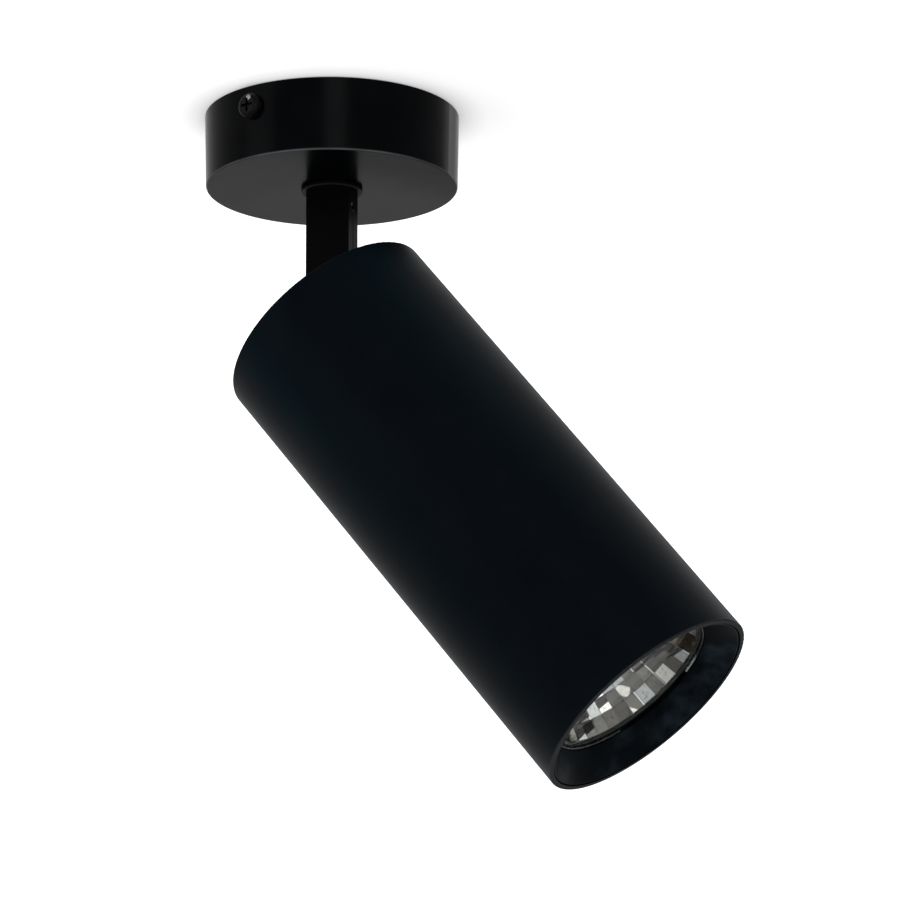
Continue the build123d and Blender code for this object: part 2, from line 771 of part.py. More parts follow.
# --- head tube: open at both ends, bored at the back for the cap and in front for the ring ----------
head_back = -pivot_inset
head_front = head_length - pivot_inset
head_radius = head_diameter / 2
bore_radius = head_radius - head_wall
cap_front = cap_back + cap_thickness
cap_skirt_end = cap_back + cap_skirt_length

with BuildPart() as head_tube:
    with BuildSketch(head_section):
        with BuildLine():
            Polyline(
                (head_radius, head_back),
                (head_radius, head_front),
                (bore_radius, head_front),
                (bore_radius, head_front - front_bore_depth),
                (bore_radius - head_step, head_front - front_bore_depth),
                (bore_radius - head_step, cap_skirt_end),
                (bore_radius, cap_skirt_end),
                (bore_radius, head_back),
                close=True,
            )
        make_face()
    revolve(axis=head_axis)
    rims = head_tube.edges().filter_by(GeomType.CIRCLE)
    rims = rims.filter_by(lambda edge: abs(edge.radius - head_radius) < seat_gap)
    fillet(rims, head_edge_radius)

head_tube.part.label = "head_tube"
export_step(head_tube.part, "parts/head_tube.step")

# --- rear cap: a dished plate pressed into the back of the tube ----------------------------------
with BuildPart() as rear_cap:
    with BuildSketch(head_section):
        with BuildLine():
            Polyline(
                (0, cap_back),
                (bore_radius - seat_gap, cap_back),
                (bore_radius - seat_gap, cap_skirt_end),
                (bore_radius - seat_gap - cap_skirt_wall, cap_skirt_end),
                (bore_radius - seat_gap - cap_skirt_wall, cap_front),
                (0, cap_front),
                close=True,
            )
        make_face()
    revolve(axis=head_axis)
    rims = rear_cap.edges().filter_by(GeomType.CIRCLE).sort_by(head_axis)
    chamfer(rims[0], cap_thickness / 4)
    with BuildSketch(head_plane(cap_back)):
        Circle(grommet_groove_diameter / 2)
        with GridLocations(yoke_screw_spacing, 0, 2, 1):
            Circle(yoke_screw_diameter / 2 + seat_gap)
    extrude(amount=cap_thickness, mode=Mode.SUBTRACT)

rear_cap.part.label = "rear_cap"
export_step(rear_cap.part, "parts/rear_cap.step")

with BuildPart() as lead_grommet:
    with BuildSketch(head_section):
        with BuildLine():
            Polyline(
                (grommet_bore_diameter / 2, cap_back - grommet_flange_thickness),
                (grommet_flange_diameter / 2, cap_back - grommet_flange_thickness),
                (grommet_flange_diameter / 2, cap_back),
                (grommet_groove_diameter / 2 - seat_gap, cap_back),
                (grommet_groove_diameter / 2 - seat_gap, cap_front),
                (grommet_flange_diameter / 2, cap_front),
                (grommet_flange_diameter / 2, cap_front + grommet_flange_thickness),
                (grommet_bore_diameter / 2, cap_front + grommet_flange_thickness),
                close=True,
            )
        make_face()
    revolve(axis=head_axis)

lead_grommet.part.label = "lead_grommet"
export_step(lead_grommet.part, "parts/lead_grommet.step")

# --- holder bracket: one bent strip that carries the lamp holder from the rear cap -----------------
lamp_front = head_front - lamp_depth
lamp_base_back = lamp_front - lamp_body_length
holder_front = lamp_base_back
holder_back = holder_front - holder_height
bracket_line = holder_bracket_thickness / 2
leg_line = holder_bracket_span / 2 - bracket_line

with BuildPart() as holder_bracket:
    with BuildSketch(head_section):
        with BuildLine():
            FilletPolyline(
                (-leg_line + holder_bracket_foot, holder_back - bracket_line),
                (-leg_line, holder_back - bracket_line),
                (-leg_line, cap_front + bracket_line),
                (leg_line, cap_front + bracket_line),
                (leg_line, holder_back - bracket_line),
                (leg_line - holder_bracket_foot, holder_back - bracket_line),
                radius=holder_bracket_bend_radius,
            )
        trace(line_width=holder_bracket_thickness)
    extrude(amount=holder_bracket_width / 2, both=True)
    with BuildSketch(head_plane(cap_front)):
        Circle(grommet_flange_diameter / 2 + 6 * seat_gap)
        with GridLocations(yoke_screw_spacing, 0, 2, 1):
            Circle(yoke_screw_diameter / 2)
    extrude(amount=holder_bracket_thickness, mode=Mode.SUBTRACT)
    with BuildSketch(head_plane(holder_back)):
        with GridLocations(holder_screw_spacing, 0, 2, 1):
            Circle(holder_screw_diameter / 2)
    extrude(amount=-holder_bracket_thickness, mode=Mode.SUBTRACT)

holder_bracket.part.label = "holder_bracket"
export_step(holder_bracket.part, "parts/holder_bracket.step")

with BuildPart() as yoke_screws:
    for side in (1, -1):
        back = Plane(
            origin=head_point(side * yoke_screw_spacing / 2, 0, yoke_top),
            x_dir=upward,
            z_dir=-forward,
        )
        add(
            pan_head_screw(
                back,
                yoke_screw_head_diameter,
                yoke_screw_head_height,
                yoke_screw_diameter - 2 * seat_gap,
                yoke_thickness + cap_thickness + holder_bracket_thickness + screw_overhang,
            )
        )

yoke_screws.part.label = "yoke_screws"
export_step(yoke_screws.part, "parts/yoke_screws.step")

# --- lamp holder: a ceramic block with two keyhole slots for the lamp's twist-lock pins -----------
pin_angles = (90, 270)
pin_circle_radius = lamp_pin_spacing / 2
pin_slot_width = lamp_pin_diameter + 8 * seat_gap
pin_hole_width = lamp_pin_head_diameter + 8 * seat_gap

with BuildPart() as lamp_holder:
    with BuildSketch(head_plane(holder_back)):
        Circle(holder_diameter / 2)
    extrude(amount=holder_height)
    rims = lamp_holder.edges().filter_by(GeomType.CIRCLE)
    chamfer(rims, holder_chamfer)
    for angle in pin_angles:
        with BuildSketch(head_plane(holder_front)):
            with BuildLine():
                CenterArc((0, 0), pin_circle_radius, angle - holder_twist, holder_twist)
            trace(line_width=pin_slot_width)
            with PolarLocations(pin_circle_radius, 1, angle):
                Circle(pin_slot_width / 2)
            with PolarLocations(pin_circle_radius, 1, angle - holder_twist):
                Circle(pin_hole_width / 2)
        extrude(amount=-holder_lip, mode=Mode.SUBTRACT)
        with BuildSketch(head_plane(holder_front - holder_lip)):
            with BuildLine():
                CenterArc((0, 0), pin_circle_radius, angle - holder_twist, holder_twist)
            trace(line_width=pin_hole_width)
            with PolarLocations(pin_circle_radius, 1, angle):
                Circle(pin_hole_width / 2)
            with PolarLocations(pin_circle_radius, 1, angle - holder_twist):
                Circle(pin_hole_width / 2)
        extrude(amount=-(holder_pocket_depth - holder_lip), mode=Mode.SUBTRACT)
        with BuildSketch(head_plane(holder_back)):
            with PolarLocations(pin_circle_radius, 1, angle):
                Circle(lead_diameter / 2 + seat_gap)
        extrude(amount=holder_height / 4, mode=Mode.SUBTRACT)
    with BuildSketch(head_plane(holder_back)):
        with GridLocations(holder_screw_spacing, 0, 2, 1):
            Circle(holder_screw_diameter / 2 + seat_gap)
    extrude(amount=holder_height, mode=Mode.SUBTRACT)
    with BuildSketch(head_plane(holder_front)):
        with GridLocations(holder_screw_spacing, 0, 2, 1):
            Circle(holder_screw_head_diameter / 2 + 4 * seat_gap)
    extrude(amount=-2 * holder_screw_head_height, mode=Mode.SUBTRACT)

lamp_holder.part.label = "lamp_holder"
export_step(lamp_holder.part, "parts/lamp_holder.step")

with BuildPart() as holder_contacts:
    with BuildSketch(head_plane(holder_front - holder_pocket_depth)):
        with PolarLocations(pin_circle_radius, 2, pin_angles[0]):
            Circle(lamp_pin_head_diameter / 2)
    extrude(amount=holder_contact_thickness)

holder_contacts.part.label = "holder_contacts"
export_step(holder_contacts.part, "parts/holder_contacts.step")

with BuildPart() as holder_screws:
    for side in (1, -1):
        seat = Plane(
            origin=head_point(
                side * holder_screw_spacing / 2, 0, holder_front - 2 * holder_screw_head_height
            ),
            x_dir=upward,
            z_dir=forward,
        )
        under_head = holder_height - 2 * holder_screw_head_height + holder_bracket_thickness
        add(
            pan_head_screw(
                seat,
                holder_screw_head_diameter,
                holder_screw_head_height,
                holder_screw_diameter - 2 * seat_gap,
                under_head + screw_overhang,
            )
        )

holder_screws.part.label = "holder_screws"
export_step(holder_screws.part, "parts/holder_screws.step")

# --- lamp: reflector with a faceted mirror -----------------------------------------------------------
mirror_rim_radius = lamp_diameter / 2 - lamp_mirror_inset
mirror_front = lamp_front - lamp_glass_thickness - face_gap
mirror_tip = mirror_front - lamp_mirror_depth
burner_hole_radius = lamp_burner_hole_diameter / 2


def mirror_level(radius):
    """Where the mirror's parabola has this radius, along the head's axis."""
    return mirror_tip + lamp_mirror_depth * (radius / mirror_rim_radius) ** 2


def mirror_radius(level):
    """The mirror's radius at this place on the head's axis."""
    return mirror_rim_radius * sqrt((level - mirror_tip) / lamp_mirror_depth)


lamp_rim_back = lamp_front - lamp_rim_length
lamp_neck_front = lamp_front - lamp_neck_depth
lamp_neck_back = lamp_neck_front - lamp_neck_length
lamp_body_middle = (lamp_rim_back + lamp_neck_front) / 2
facet_radii = [
    burner_hole_radius + (mirror_rim_radius - burner_hole_radius) * ring / lamp_facet_rings
    for ring in range(lamp_facet_rings + 1)
]

with BuildPart() as lamp_reflector:
    with BuildSketch(head_section):
        with BuildLine():
            Line((0, lamp_front), (lamp_diameter / 2, lamp_front))
            Line((lamp_diameter / 2, lamp_front), (lamp_diameter / 2, lamp_rim_back))
            Line(
                (lamp_diameter / 2, lamp_rim_back),
                (mirror_radius(lamp_rim_back) + lamp_mirror_wall, lamp_rim_back),
            )
            ThreePointArc(
                (mirror_radius(lamp_rim_back) + lamp_mirror_wall, lamp_rim_back),
                (mirror_radius(lamp_body_middle) + lamp_mirror_wall, lamp_body_middle),
                (lamp_neck_diameter / 2, lamp_neck_front),
            )
            Line(
                (lamp_neck_diameter / 2, lamp_neck_front), (lamp_neck_diameter / 2, lamp_neck_back)
            )
            Line((lamp_neck_diameter / 2, lamp_neck_back), (0, lamp_neck_back))
            Line((0, lamp_neck_back), (0, lamp_front))
        make_face()
    revolve(axis=head_axis)
    for radius in facet_radii:
        with BuildSketch(head_plane(mirror_level(radius))):
            RegularPolygon(radius, lamp_facet_count)
    loft(ruled=True, mode=Mode.SUBTRACT)
    with BuildSketch(head_plane(mirror_front)):
        Circle(lamp_diameter / 2 - lamp_rim_wall)
    extrude(amount=lamp_glass_thickness + face_gap, mode=Mode.SUBTRACT)
    with BuildSketch(head_plane(lamp_neck_back)):
        Circle(burner_hole_radius)
    extrude(amount=mirror_level(burner_hole_radius) - lamp_neck_back, mode=Mode.SUBTRACT)

lamp_reflector.part.label = "lamp_reflector"
export_step(lamp_reflector.part, "parts/lamp_reflector.step")

with BuildPart() as lamp_glass:
    with BuildSketch(head_plane(mirror_front)):
        Circle(lamp_diameter / 2 - lamp_rim_wall - seat_gap)
    extrude(amount=lamp_glass_thickness)
    chamfer(lamp_glass.edges().sort_by(head_axis)[-1], lamp_glass_thickness / 5)

lamp_glass.part.label = "lamp_glass"
export_step(lamp_glass.part, "parts/lamp_glass.step")

# --- lamp: base, burner and pins ------------------------------------------------------------------------
lamp_base_radius = lamp_neck_diameter / 2 + lamp_base_wall
with BuildPart() as lamp_base:
    with BuildSketch(head_section):
        with BuildLine():
            Polyline(
                (0, lamp_base_back),
                (lamp_base_end_diameter / 2 - lamp_base_end_chamfer, lamp_base_back),
                (lamp_base_end_diameter / 2, lamp_base_back + lamp_base_end_chamfer),
                (lamp_base_end_diameter / 2, lamp_base_back + lamp_pin_length),
                (lamp_base_radius, lamp_neck_back - lamp_base_rim_length),
                (lamp_base_radius, lamp_neck_front - seat_gap),
                (lamp_neck_diameter / 2 + seat_gap, lamp_neck_front - seat_gap),
                (lamp_neck_diameter / 2 + seat_gap, lamp_neck_back),
                (0, lamp_neck_back),
                close=True,
            )
        make_face()
    revolve(axis=head_axis)
    with BuildSketch(head_plane(lamp_base_back)):
        with PolarLocations(pin_circle_radius, 2, pin_angles[0]):
            Circle(lamp_pin_diameter / 2 + seat_gap)
    extrude(amount=lamp_pin_length / 2, mode=Mode.SUBTRACT)

lamp_base.part.label = "lamp_base"
export_step(lamp_base.part, "parts/lamp_base.step")

with BuildPart() as lamp_pins:
    with BuildSketch(head_plane(lamp_base_back + lamp_pin_length / 2)):
        with PolarLocations(pin_circle_radius, 2, pin_angles[0]):
            Circle(lamp_pin_diameter / 2)
    extrude(amount=-(lamp_pin_length * 1.5 - lamp_pin_head_length))
    with BuildSketch(head_plane(lamp_base_back - lamp_pin_length + lamp_pin_head_length)):
        with PolarLocations(pin_circle_radius, 2, pin_angles[0]):
            Circle(lamp_pin_head_diameter / 2)
    extrude(amount=-lamp_pin_head_length)

lamp_pins.part.label = "lamp_pins"
export_step(lamp_pins.part, "parts/lamp_pins.step")

burner_radius = lamp_burner_diameter / 2
burner_shoulder = lamp_neck_back + lamp_burner_length - burner_radius
with BuildPart() as lamp_burner:
    with BuildSketch(head_section):
        with BuildLine():
            Polyline(
                (0, burner_shoulder + burner_radius),
                (0, lamp_neck_back),
                (burner_radius, lamp_neck_back),
                (burner_radius, burner_shoulder),
            )
            RadiusArc(
                (burner_radius, burner_shoulder), (0, burner_shoulder + burner_radius), -burner_radius
            )
        make_face()
    revolve(axis=head_axis)

lamp_burner.part.label = "lamp_burner"
export_step(lamp_burner.part, "parts/lamp_burner.step")

# --- front ring: anti-glare cone, lamp pocket and the threaded skirt that fits the tube ---------------
spring_radius = lamp_diameter / 2 - spring_hold + spring_wire_diameter / 2
spring_level = lamp_front + face_gap + spring_wire_diameter / 2
groove_radius = spring_radius + spring_wire_diameter / 2 + 2 * seat_gap
groove_front = spring_level + spring_wire_diameter / 2 + seat_gap
pocket_radius = lamp_diameter / 2 + 4 * seat_gap
cone_back = groove_front + ring_groove_lip
ring_front = head_front - ring_recess
ring_back = ring_front - ring_length
ring_radius = bore_radius - ring_gap
thread_radius = bore_radius - 2 * seat_gap
thread_front = head_front - ring_thread_depth
skirt_inner_radius = thread_radius - ring_skirt_wall
pocket_outer_radius = groove_radius + ring_pocket_wall / 2
shoulder_radius = mirror_radius(lamp_rim_back) + lamp_mirror_wall + 4 * seat_gap
shoulder_front = lamp_rim_back - seat_gap
shoulder_back = shoulder_front - ring_shoulder_thickness
web_front = lamp_front - ring_web_setback

with BuildPart() as front_ring:
    with BuildSketch(head_section):
        with BuildLine():
            Polyline(
                (ring_radius - ring_lip, ring_front),
                (ring_radius, ring_front),
                (ring_radius, thread_front),
                (thread_radius, thread_front),
                (thread_radius, ring_back),
                (skirt_inner_radius, ring_back),
                (skirt_inner_radius, thread_front - ring_pocket_wall),
                (pocket_outer_radius, web_front),
                (pocket_outer_radius, shoulder_back),
                (shoulder_radius, shoulder_back),
                (shoulder_radius, shoulder_front),
                (pocket_radius, shoulder_front),
                (pocket_radius, lamp_front),
                (groove_radius, lamp_front),
                (groove_radius, groove_front),
                (pocket_radius, groove_front),
                (pocket_radius, cone_back),
                close=True,
            )
        make_face()
    revolve(axis=head_axis)

front_ring.part.label = "front_ring"
export_step(front_ring.part, "parts/front_ring.step")

# --- lamp spring: an open ring of wire in the groove in front of the lamp ------------------------------
with BuildPart() as lamp_spring:
    with BuildLine(head_plane(spring_level)) as spring_path:
        CenterArc((0, 0), spring_radius, spring_end_angle, spring_arc)
    with BuildSketch(Plane(origin=spring_path.line @ 0, z_dir=spring_path.line % 0)):
        Circle(spring_wire_diameter / 2)
    sweep(path=spring_path.line)

lamp_spring.part.label = "lamp_spring"
export_step(lamp_spring.part, "parts/lamp_spring.step")

# --- leads: in the canopy, through the arm, and in the head -------------------------------------------
with BuildPart() as supply_leads:
    for side in (1, -1):
        inlet = Vector(0, side * lead_spacing / 2, stem_top + face_gap)
        clamp_mouth = (
            bracket_along * -side * block_pitch
            + bracket_across * (block_offset - clamp_length / 2 + face_gap)
            + Vector(0, 0, clamp_level)
        )
        turn = Vector(inlet.X, inlet.Y, clamp_level)
        approach = clamp_mouth - bracket_across * (block_depth / 2)
        add(lead([inlet, turn, approach, clamp_mouth], supply_bend_radius))

supply_leads.part.label = "supply_leads"
export_step(supply_leads.part, "parts/supply_leads.step")

sleeve_pass = -(pivot_sleeve_diameter / 2 + arm_bore_width / 2) / 2
spigot_end = collar_under - spigot_length
with BuildPart() as arm_leads:
    for side in (1, -1):
        offset = side * lead_spacing / 2
        route = [
            Vector(0, offset, stem_top - face_gap),
            Vector(0, offset, spigot_end - lead_bend_radius),
            Vector(sleeve_pass, offset, pivot.Z + 2 * pivot_sleeve_diameter),
            Vector(sleeve_pass, offset, pivot.Z - pivot_sleeve_diameter * 0.6),
        ]
        add(lead(route, lead_bend_radius))

arm_leads.part.label = "arm_leads"
export_step(arm_leads.part, "parts/arm_leads.step")

with BuildPart() as head_leads:
    for side in (1, -1):
        route = [
            head_point(0, side * lead_spacing / 2, cap_back - grommet_flange_thickness),
            head_point(0, side * lead_spacing / 2, cap_skirt_end + 2 * lead_bend_radius),
            head_point(0, side * pin_circle_radius, holder_back - 2 * lead_bend_radius),
            head_point(0, side * pin_circle_radius, holder_back + holder_height / 4 - face_gap),
        ]
        add(lead(route, lead_bend_radius))

head_leads.part.label = "head_leads"
export_step(head_leads.part, "parts/head_leads.step")
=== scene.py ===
from math import cos, pi, radians, sin

import bpy
from mathutils import Matrix, Vector

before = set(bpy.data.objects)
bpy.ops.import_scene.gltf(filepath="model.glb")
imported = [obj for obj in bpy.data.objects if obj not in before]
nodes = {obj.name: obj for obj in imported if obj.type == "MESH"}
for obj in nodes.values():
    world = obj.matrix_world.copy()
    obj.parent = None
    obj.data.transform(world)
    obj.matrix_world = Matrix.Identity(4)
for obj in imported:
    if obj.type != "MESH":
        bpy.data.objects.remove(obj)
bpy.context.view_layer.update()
scene = bpy.context.scene

# --- places on the object, in metres ----------------------------------------------------------
CANOPY_RADIUS = 0.0375
CANOPY_BOTTOM = -0.0215

# The head's own frame starts at the pivot: up and sideways across the tube, forwards along it.
HEAD_TILT = radians(39.3)  # from straight down
PIVOT = Vector((0.0, 0.0, -0.0647))
FORWARD = Vector((sin(HEAD_TILT), 0.0, -cos(HEAD_TILT)))
UPWARD = Vector((cos(HEAD_TILT), 0.0, sin(HEAD_TILT)))
SIDEWARD = Vector((0.0, -1.0, 0.0))
HEAD_TURN = Matrix((UPWARD, SIDEWARD, FORWARD)).transposed().to_euler("XYZ")

# --- camera -----------------------------------------------------------------------------------
CAMERA_AZIMUTH = radians(22.46)
CAMERA_PITCH = radians(13.46)  # it looks up
CAMERA_ROLL = -0.004
CAMERA_LENS = 137.5
CAMERA_SENSOR = 36.0
CAMERA_AHEAD = 1.01130
CAMERA_ASIDE = -0.034733
CAMERA_ABOVE = 0.076716
CAMERA_TARGET = Vector((0.0, 0.0, CANOPY_BOTTOM))


def aim_camera():
    ahead = Vector(
        (
            -sin(CAMERA_AZIMUTH) * cos(CAMERA_PITCH),
            cos(CAMERA_AZIMUTH) * cos(CAMERA_PITCH),
            sin(CAMERA_PITCH),
        )
    )
    level_right = Vector((cos(CAMERA_AZIMUTH), sin(CAMERA_AZIMUTH), 0.0))
    level_up = level_right.cross(ahead)
    right = level_right * cos(CAMERA_ROLL) + level_up * sin(CAMERA_ROLL)
    up = level_up * cos(CAMERA_ROLL) - level_right * sin(CAMERA_ROLL)
    place = CAMERA_TARGET - ahead * CAMERA_AHEAD - right * CAMERA_ASIDE - up * CAMERA_ABOVE
    data = bpy.data.cameras.new("camera")
    data.lens = CAMERA_LENS
    data.sensor_width = CAMERA_SENSOR
    data.sensor_fit = "HORIZONTAL"
    data.clip_start = 0.01
    data.clip_end = 50.0
    camera = bpy.data.objects.new("camera", data)
    turn = Matrix((right, up, -ahead)).transposed().to_4x4()
    camera.matrix_world = Matrix.Translation(place) @ turn
    scene.collection.objects.link(camera)
    scene.camera = camera


aim_camera()
scene.view_settings.view_transform = "Standard"


# --- node helpers -----------------------------------------------------------------------------
def srgb(*values):
    """Linear colour of 0 to 255 display values."""
    linear = []
    for value in values:
        v = value / 255
        linear.append(v / 12.92 if v <= 0.04045 else ((v + 0.055) / 1.055) ** 2.4)
    return (*linear, 1.0)


def darker(colour, share):
    """The colour with its light cut to this share."""
    return tuple(c * share for c in colour[:3]) + (1.0,)


class Graph:
    """A node tree with short ways to add and join its nodes."""

    def __init__(self, tree):
        self.tree = tree
        tree.nodes.clear()

    def add(self, kind, *links, **values):
        node = self.tree.nodes.new(kind)
        for name, value in values.items():
            setattr(node, name, value)
        for place, value in links:
            self.give(node, place, value)
        return node

    def give(self, node, place, value):
        if isinstance(value, bpy.types.NodeSocket):
            self.tree.links.new(value, node.inputs[place])
        else:
            node.inputs[place].default_value = value

    def math(self, operation, first, second=0.0, third=0.0):
        node = self.add(
            "ShaderNodeMath", (0, first), (1, second), (2, third), operation=operation
        )
        return node.outputs[0]

    def ramp(self, value, low, high, to_low=0.0, to_high=1.0):
        """value taken from low..high to to_low..to_high, held at both ends."""
        node = self.add(
            "ShaderNodeMapRange",
            (0, value),
            (1, low),
            (2, high),
            (3, to_low),
            (4, to_high),
            interpolation_type="SMOOTHSTEP",
        )
        return node.outputs[0]

    def mix(self, share, first, second):
        node = self.add("ShaderNodeMix", data_type="RGBA", clamp_factor=True)
        self.give(node, 0, share)
        self.give(node, 6, first)
        self.give(node, 7, second)
        return node.outputs[2]

    def noise(self, where, scale, detail=3.0, rough=0.5):
        node = self.add(
            "ShaderNodeTexNoise",
            ("Vector", where),
            ("Scale", scale),
            ("Detail", detail),
            ("Roughness", rough),
        )
        return node.outputs["Fac"]

    def cells(self, where, scale):
        node = self.add("ShaderNodeTexVoronoi", ("Vector", where), ("Scale", scale))
        return node.outputs["Distance"]

    def bump(self, height, strength, distance, before=None):
        node = self.add(
            "ShaderNodeBump", ("Strength", strength), ("Distance", distance), ("Height", height)
        )
        if before is not None:
            self.give(node, "Normal", before)
        return node.outputs[0]

    def distance(self, first, second):
        node = self.add("ShaderNodeVectorMath", (0, first), (1, second), operation="DISTANCE")
        return node.outputs["Value"]

    def dot(self, first, second):
        node = self.add("ShaderNodeVectorMath", (0, first), (1, second), operation="DOT_PRODUCT")
        return node.outputs["Value"]

    def vector(self, operation, first, second=(0.0, 0.0, 0.0), scale=1.0):
        node = self.add("ShaderNodeVectorMath", (0, first), (1, second), operation=operation)
        self.give(node, 3, scale)
        return node.outputs[0]

    def split(self, vector):
        """The vector's three numbers."""
        return self.add("ShaderNodeSeparateXYZ", (0, vector)).outputs

    def turn_normal(self, normal, old, new):
        node = self.add(
            "ShaderNodeVectorTransform",
            ("Vector", normal),
            vector_type="NORMAL",
            convert_from=old,
            convert_to=new,
        )
        return node.outputs[0]


def start_material(name, **sockets):
    """A material with one principled shader; sockets gives its constant values."""
    material = bpy.data.materials.new(name)
    material.use_nodes = True
    graph = Graph(material.node_tree)
    shader = graph.add("ShaderNodeBsdfPrincipled")
    graph.add("ShaderNodeOutputMaterial", (0, shader.outputs[0]))
    for socket, value in sockets.items():
        shader.inputs[socket.replace("_", " ")].default_value = value
    where = graph.add("ShaderNodeTexCoord").outputs["Object"]
    return material, graph, shader, where


def head_place(graph, where):
    """The place in the head's frame: X up, Y to the near side, Z forwards from the pivot."""
    node = graph.add(
        "ShaderNodeMapping",
        ("Vector", where),
        ("Location", PIVOT),
        ("Rotation", HEAD_TURN),
        vector_type="TEXTURE",
    )
    return node.outputs[0]


def radius_and_depth(graph, place):
    """How far the place is from the Z axis, and along it."""
    x, y, z = graph.split(place)
    square = graph.math("ADD", graph.math("MULTIPLY", x, x), graph.math("MULTIPLY", y, y))
    return graph.math("SQRT", square), z


def band(graph, value, middle, reach):
    """1 where value is at the middle, falling to 0 this far from it."""
    away = graph.math("ABSOLUTE", graph.math("SUBTRACT", value, middle))
    return graph.ramp(away, 0.0, reach, to_low=1.0, to_high=0.0)


# --- materials --------------------------------------------------------------------------------
NOISE_SPAN = (0.3, 0.7)  # nearly all values of a noise
NOISE_UPPER = (0.35, 0.7)
PLAIN_TINT = (1.0, 1.0, 1.0, 1.0)
COOL_TINT = (0.74, 0.92, 1.0, 1.0)

# The powder coats.
# Edges' lighter tone: wear, and on the canopy's and collar's lower edges a painted highlight too.
WEAR_AND_HIGHLIGHT_TONE = srgb(108, 110, 111)
WORN_LEAST = 0.4  # of an edge's share, where it is worn least
# The head coat's painted sheen: blue-green, seen aslant and most at the head's back.
SHEEN_FACING = 0.36  # how far aslant the painted sheen is strongest, and its reach from there
SHEEN_REACH = 0.28
SHEEN_FADE_LENGTH = 0.12  # along the head, from the pivot
SHEEN_LEFT = 0.25
SPECULAR_LEVEL = 0.34
SPECULAR_MOTTLE = 0.26
# Painted shade: the canopy's underside reflects less towards one side.
PAINTED_SHADE_START = 0.004  # from the middle of the canopy towards the side with painted shade
PAINTED_SHADE_END = 0.030
PAINTED_SHADE_SHARE = 0.36
PAINTED_SHADE_EDGE = 0.0003


def worn_and_highlit_edge(graph, where, in_head, radius, depth, reach, share):
    """Up to this share on a circle of this radius, at this depth: where the coat is thin, and on
    the canopy's and collar's edges a painted highlight too.
    """
    place = head_place(graph, where) if in_head else where
    own_radius, own_depth = radius_and_depth(graph, place)
    rubbed_and_highlit = graph.math(
        "MULTIPLY",
        band(graph, own_radius, radius, reach),
        band(graph, own_depth, depth, reach),
    )
    patchy = graph.noise(where, scale=55.0, detail=2.0)
    shown = graph.ramp(patchy, *NOISE_SPAN, to_low=share * WORN_LEAST, to_high=share)
    return graph.math("MULTIPLY", rubbed_and_highlit, shown)


def sheen_aslant(graph, where):
    """How much of its painted sheen the head's coat shows: aslant, and most at its back."""
    facing = graph.add("ShaderNodeLayerWeight", ("Blend", 0.5)).outputs["Facing"]
    depth = radius_and_depth(graph, head_place(graph, where))[1]
    fade = graph.ramp(depth, 0.0, SHEEN_FADE_LENGTH, to_low=1.0, to_high=SHEEN_LEFT)
    return graph.math("MULTIPLY", band(graph, facing, SHEEN_FACING, SHEEN_REACH), fade)


def gloss_under_painted_shade(graph, where, direction, top):
    """1, but less in this direction from the middle, on what lies below the top: painted shade in
    the gloss.
    """
    towards = graph.dot(where, direction)
    lost = graph.ramp(towards, PAINTED_SHADE_START, PAINTED_SHADE_END, to_high=PAINTED_SHADE_SHARE)
    height = graph.split(where)[2]
    below = graph.ramp(height, top, top + PAINTED_SHADE_EDGE, to_low=1.0, to_high=0.0)
    return graph.math("SUBTRACT", 1.0, graph.math("MULTIPLY", lost, below))


def powder_coat(
    name,
    dark,
    light,
    ior,
    roughness,
    grain,
    grain_depth,
    edges,
    tint=PLAIN_TINT,
    sheen=None,
    painted_shade=None,
):
    """Black powder coat: a fine pebbled skin, with dust-thin changes of tone and gloss.

    edges lists where worn edges show lighter metal: wear, and on the canopy's and collar's lower
    edges a painted highlight too. sheen is the colour of a painted sheen on the head coat, seen
    aslant. The last argument says where the gloss is darkened on one side, as painted shade.
    """
    material, graph, shader, where = start_material(name, IOR=ior, Specular_Tint=tint)
    pebble = graph.noise(where, scale=grain, detail=2.0, rough=0.6)
    patch = graph.noise(where, scale=90.0, detail=4.0, rough=0.55)
    speck = graph.ramp(graph.noise(where, scale=grain * 0.55, detail=1.0), 0.62, 0.74)
    tone = graph.mix(graph.ramp(patch, *NOISE_SPAN), dark, light)
    tone = graph.mix(graph.math("MULTIPLY", speck, 0.5), tone, light)
    rough = graph.ramp(patch, *NOISE_SPAN, to_low=roughness - 0.01, to_high=roughness + 0.015)
    rough = graph.math("ADD", rough, graph.math("MULTIPLY", speck, 0.03))
    # worn edges, which on the canopy and collar are painted highlights too
    for edge in edges:
        tone = graph.mix(worn_and_highlit_edge(graph, where, **edge), tone, WEAR_AND_HIGHLIGHT_TONE)
    # painted sheen, seen aslant
    if sheen is not None:
        tone = graph.mix(sheen_aslant(graph, where), tone, sheen)
    mottle = graph.noise(where, scale=42.0, detail=4.0, rough=0.6)
    level = graph.math("MULTIPLY_ADD", mottle, SPECULAR_MOTTLE, SPECULAR_LEVEL)
    # painted shade: less gloss on one side of the canopy's underside
    if painted_shade is not None:
        level = graph.math("MULTIPLY", level, gloss_under_painted_shade(graph, where, **painted_shade))
    graph.give(shader, "Specular IOR Level", level)
    graph.give(shader, "Base Color", tone)
    graph.give(shader, "Roughness", rough)
    graph.give(shader, "Normal", graph.bump(pebble, strength=0.35, distance=grain_depth))
    return material


BARE_STEEL = srgb(112, 113, 114)


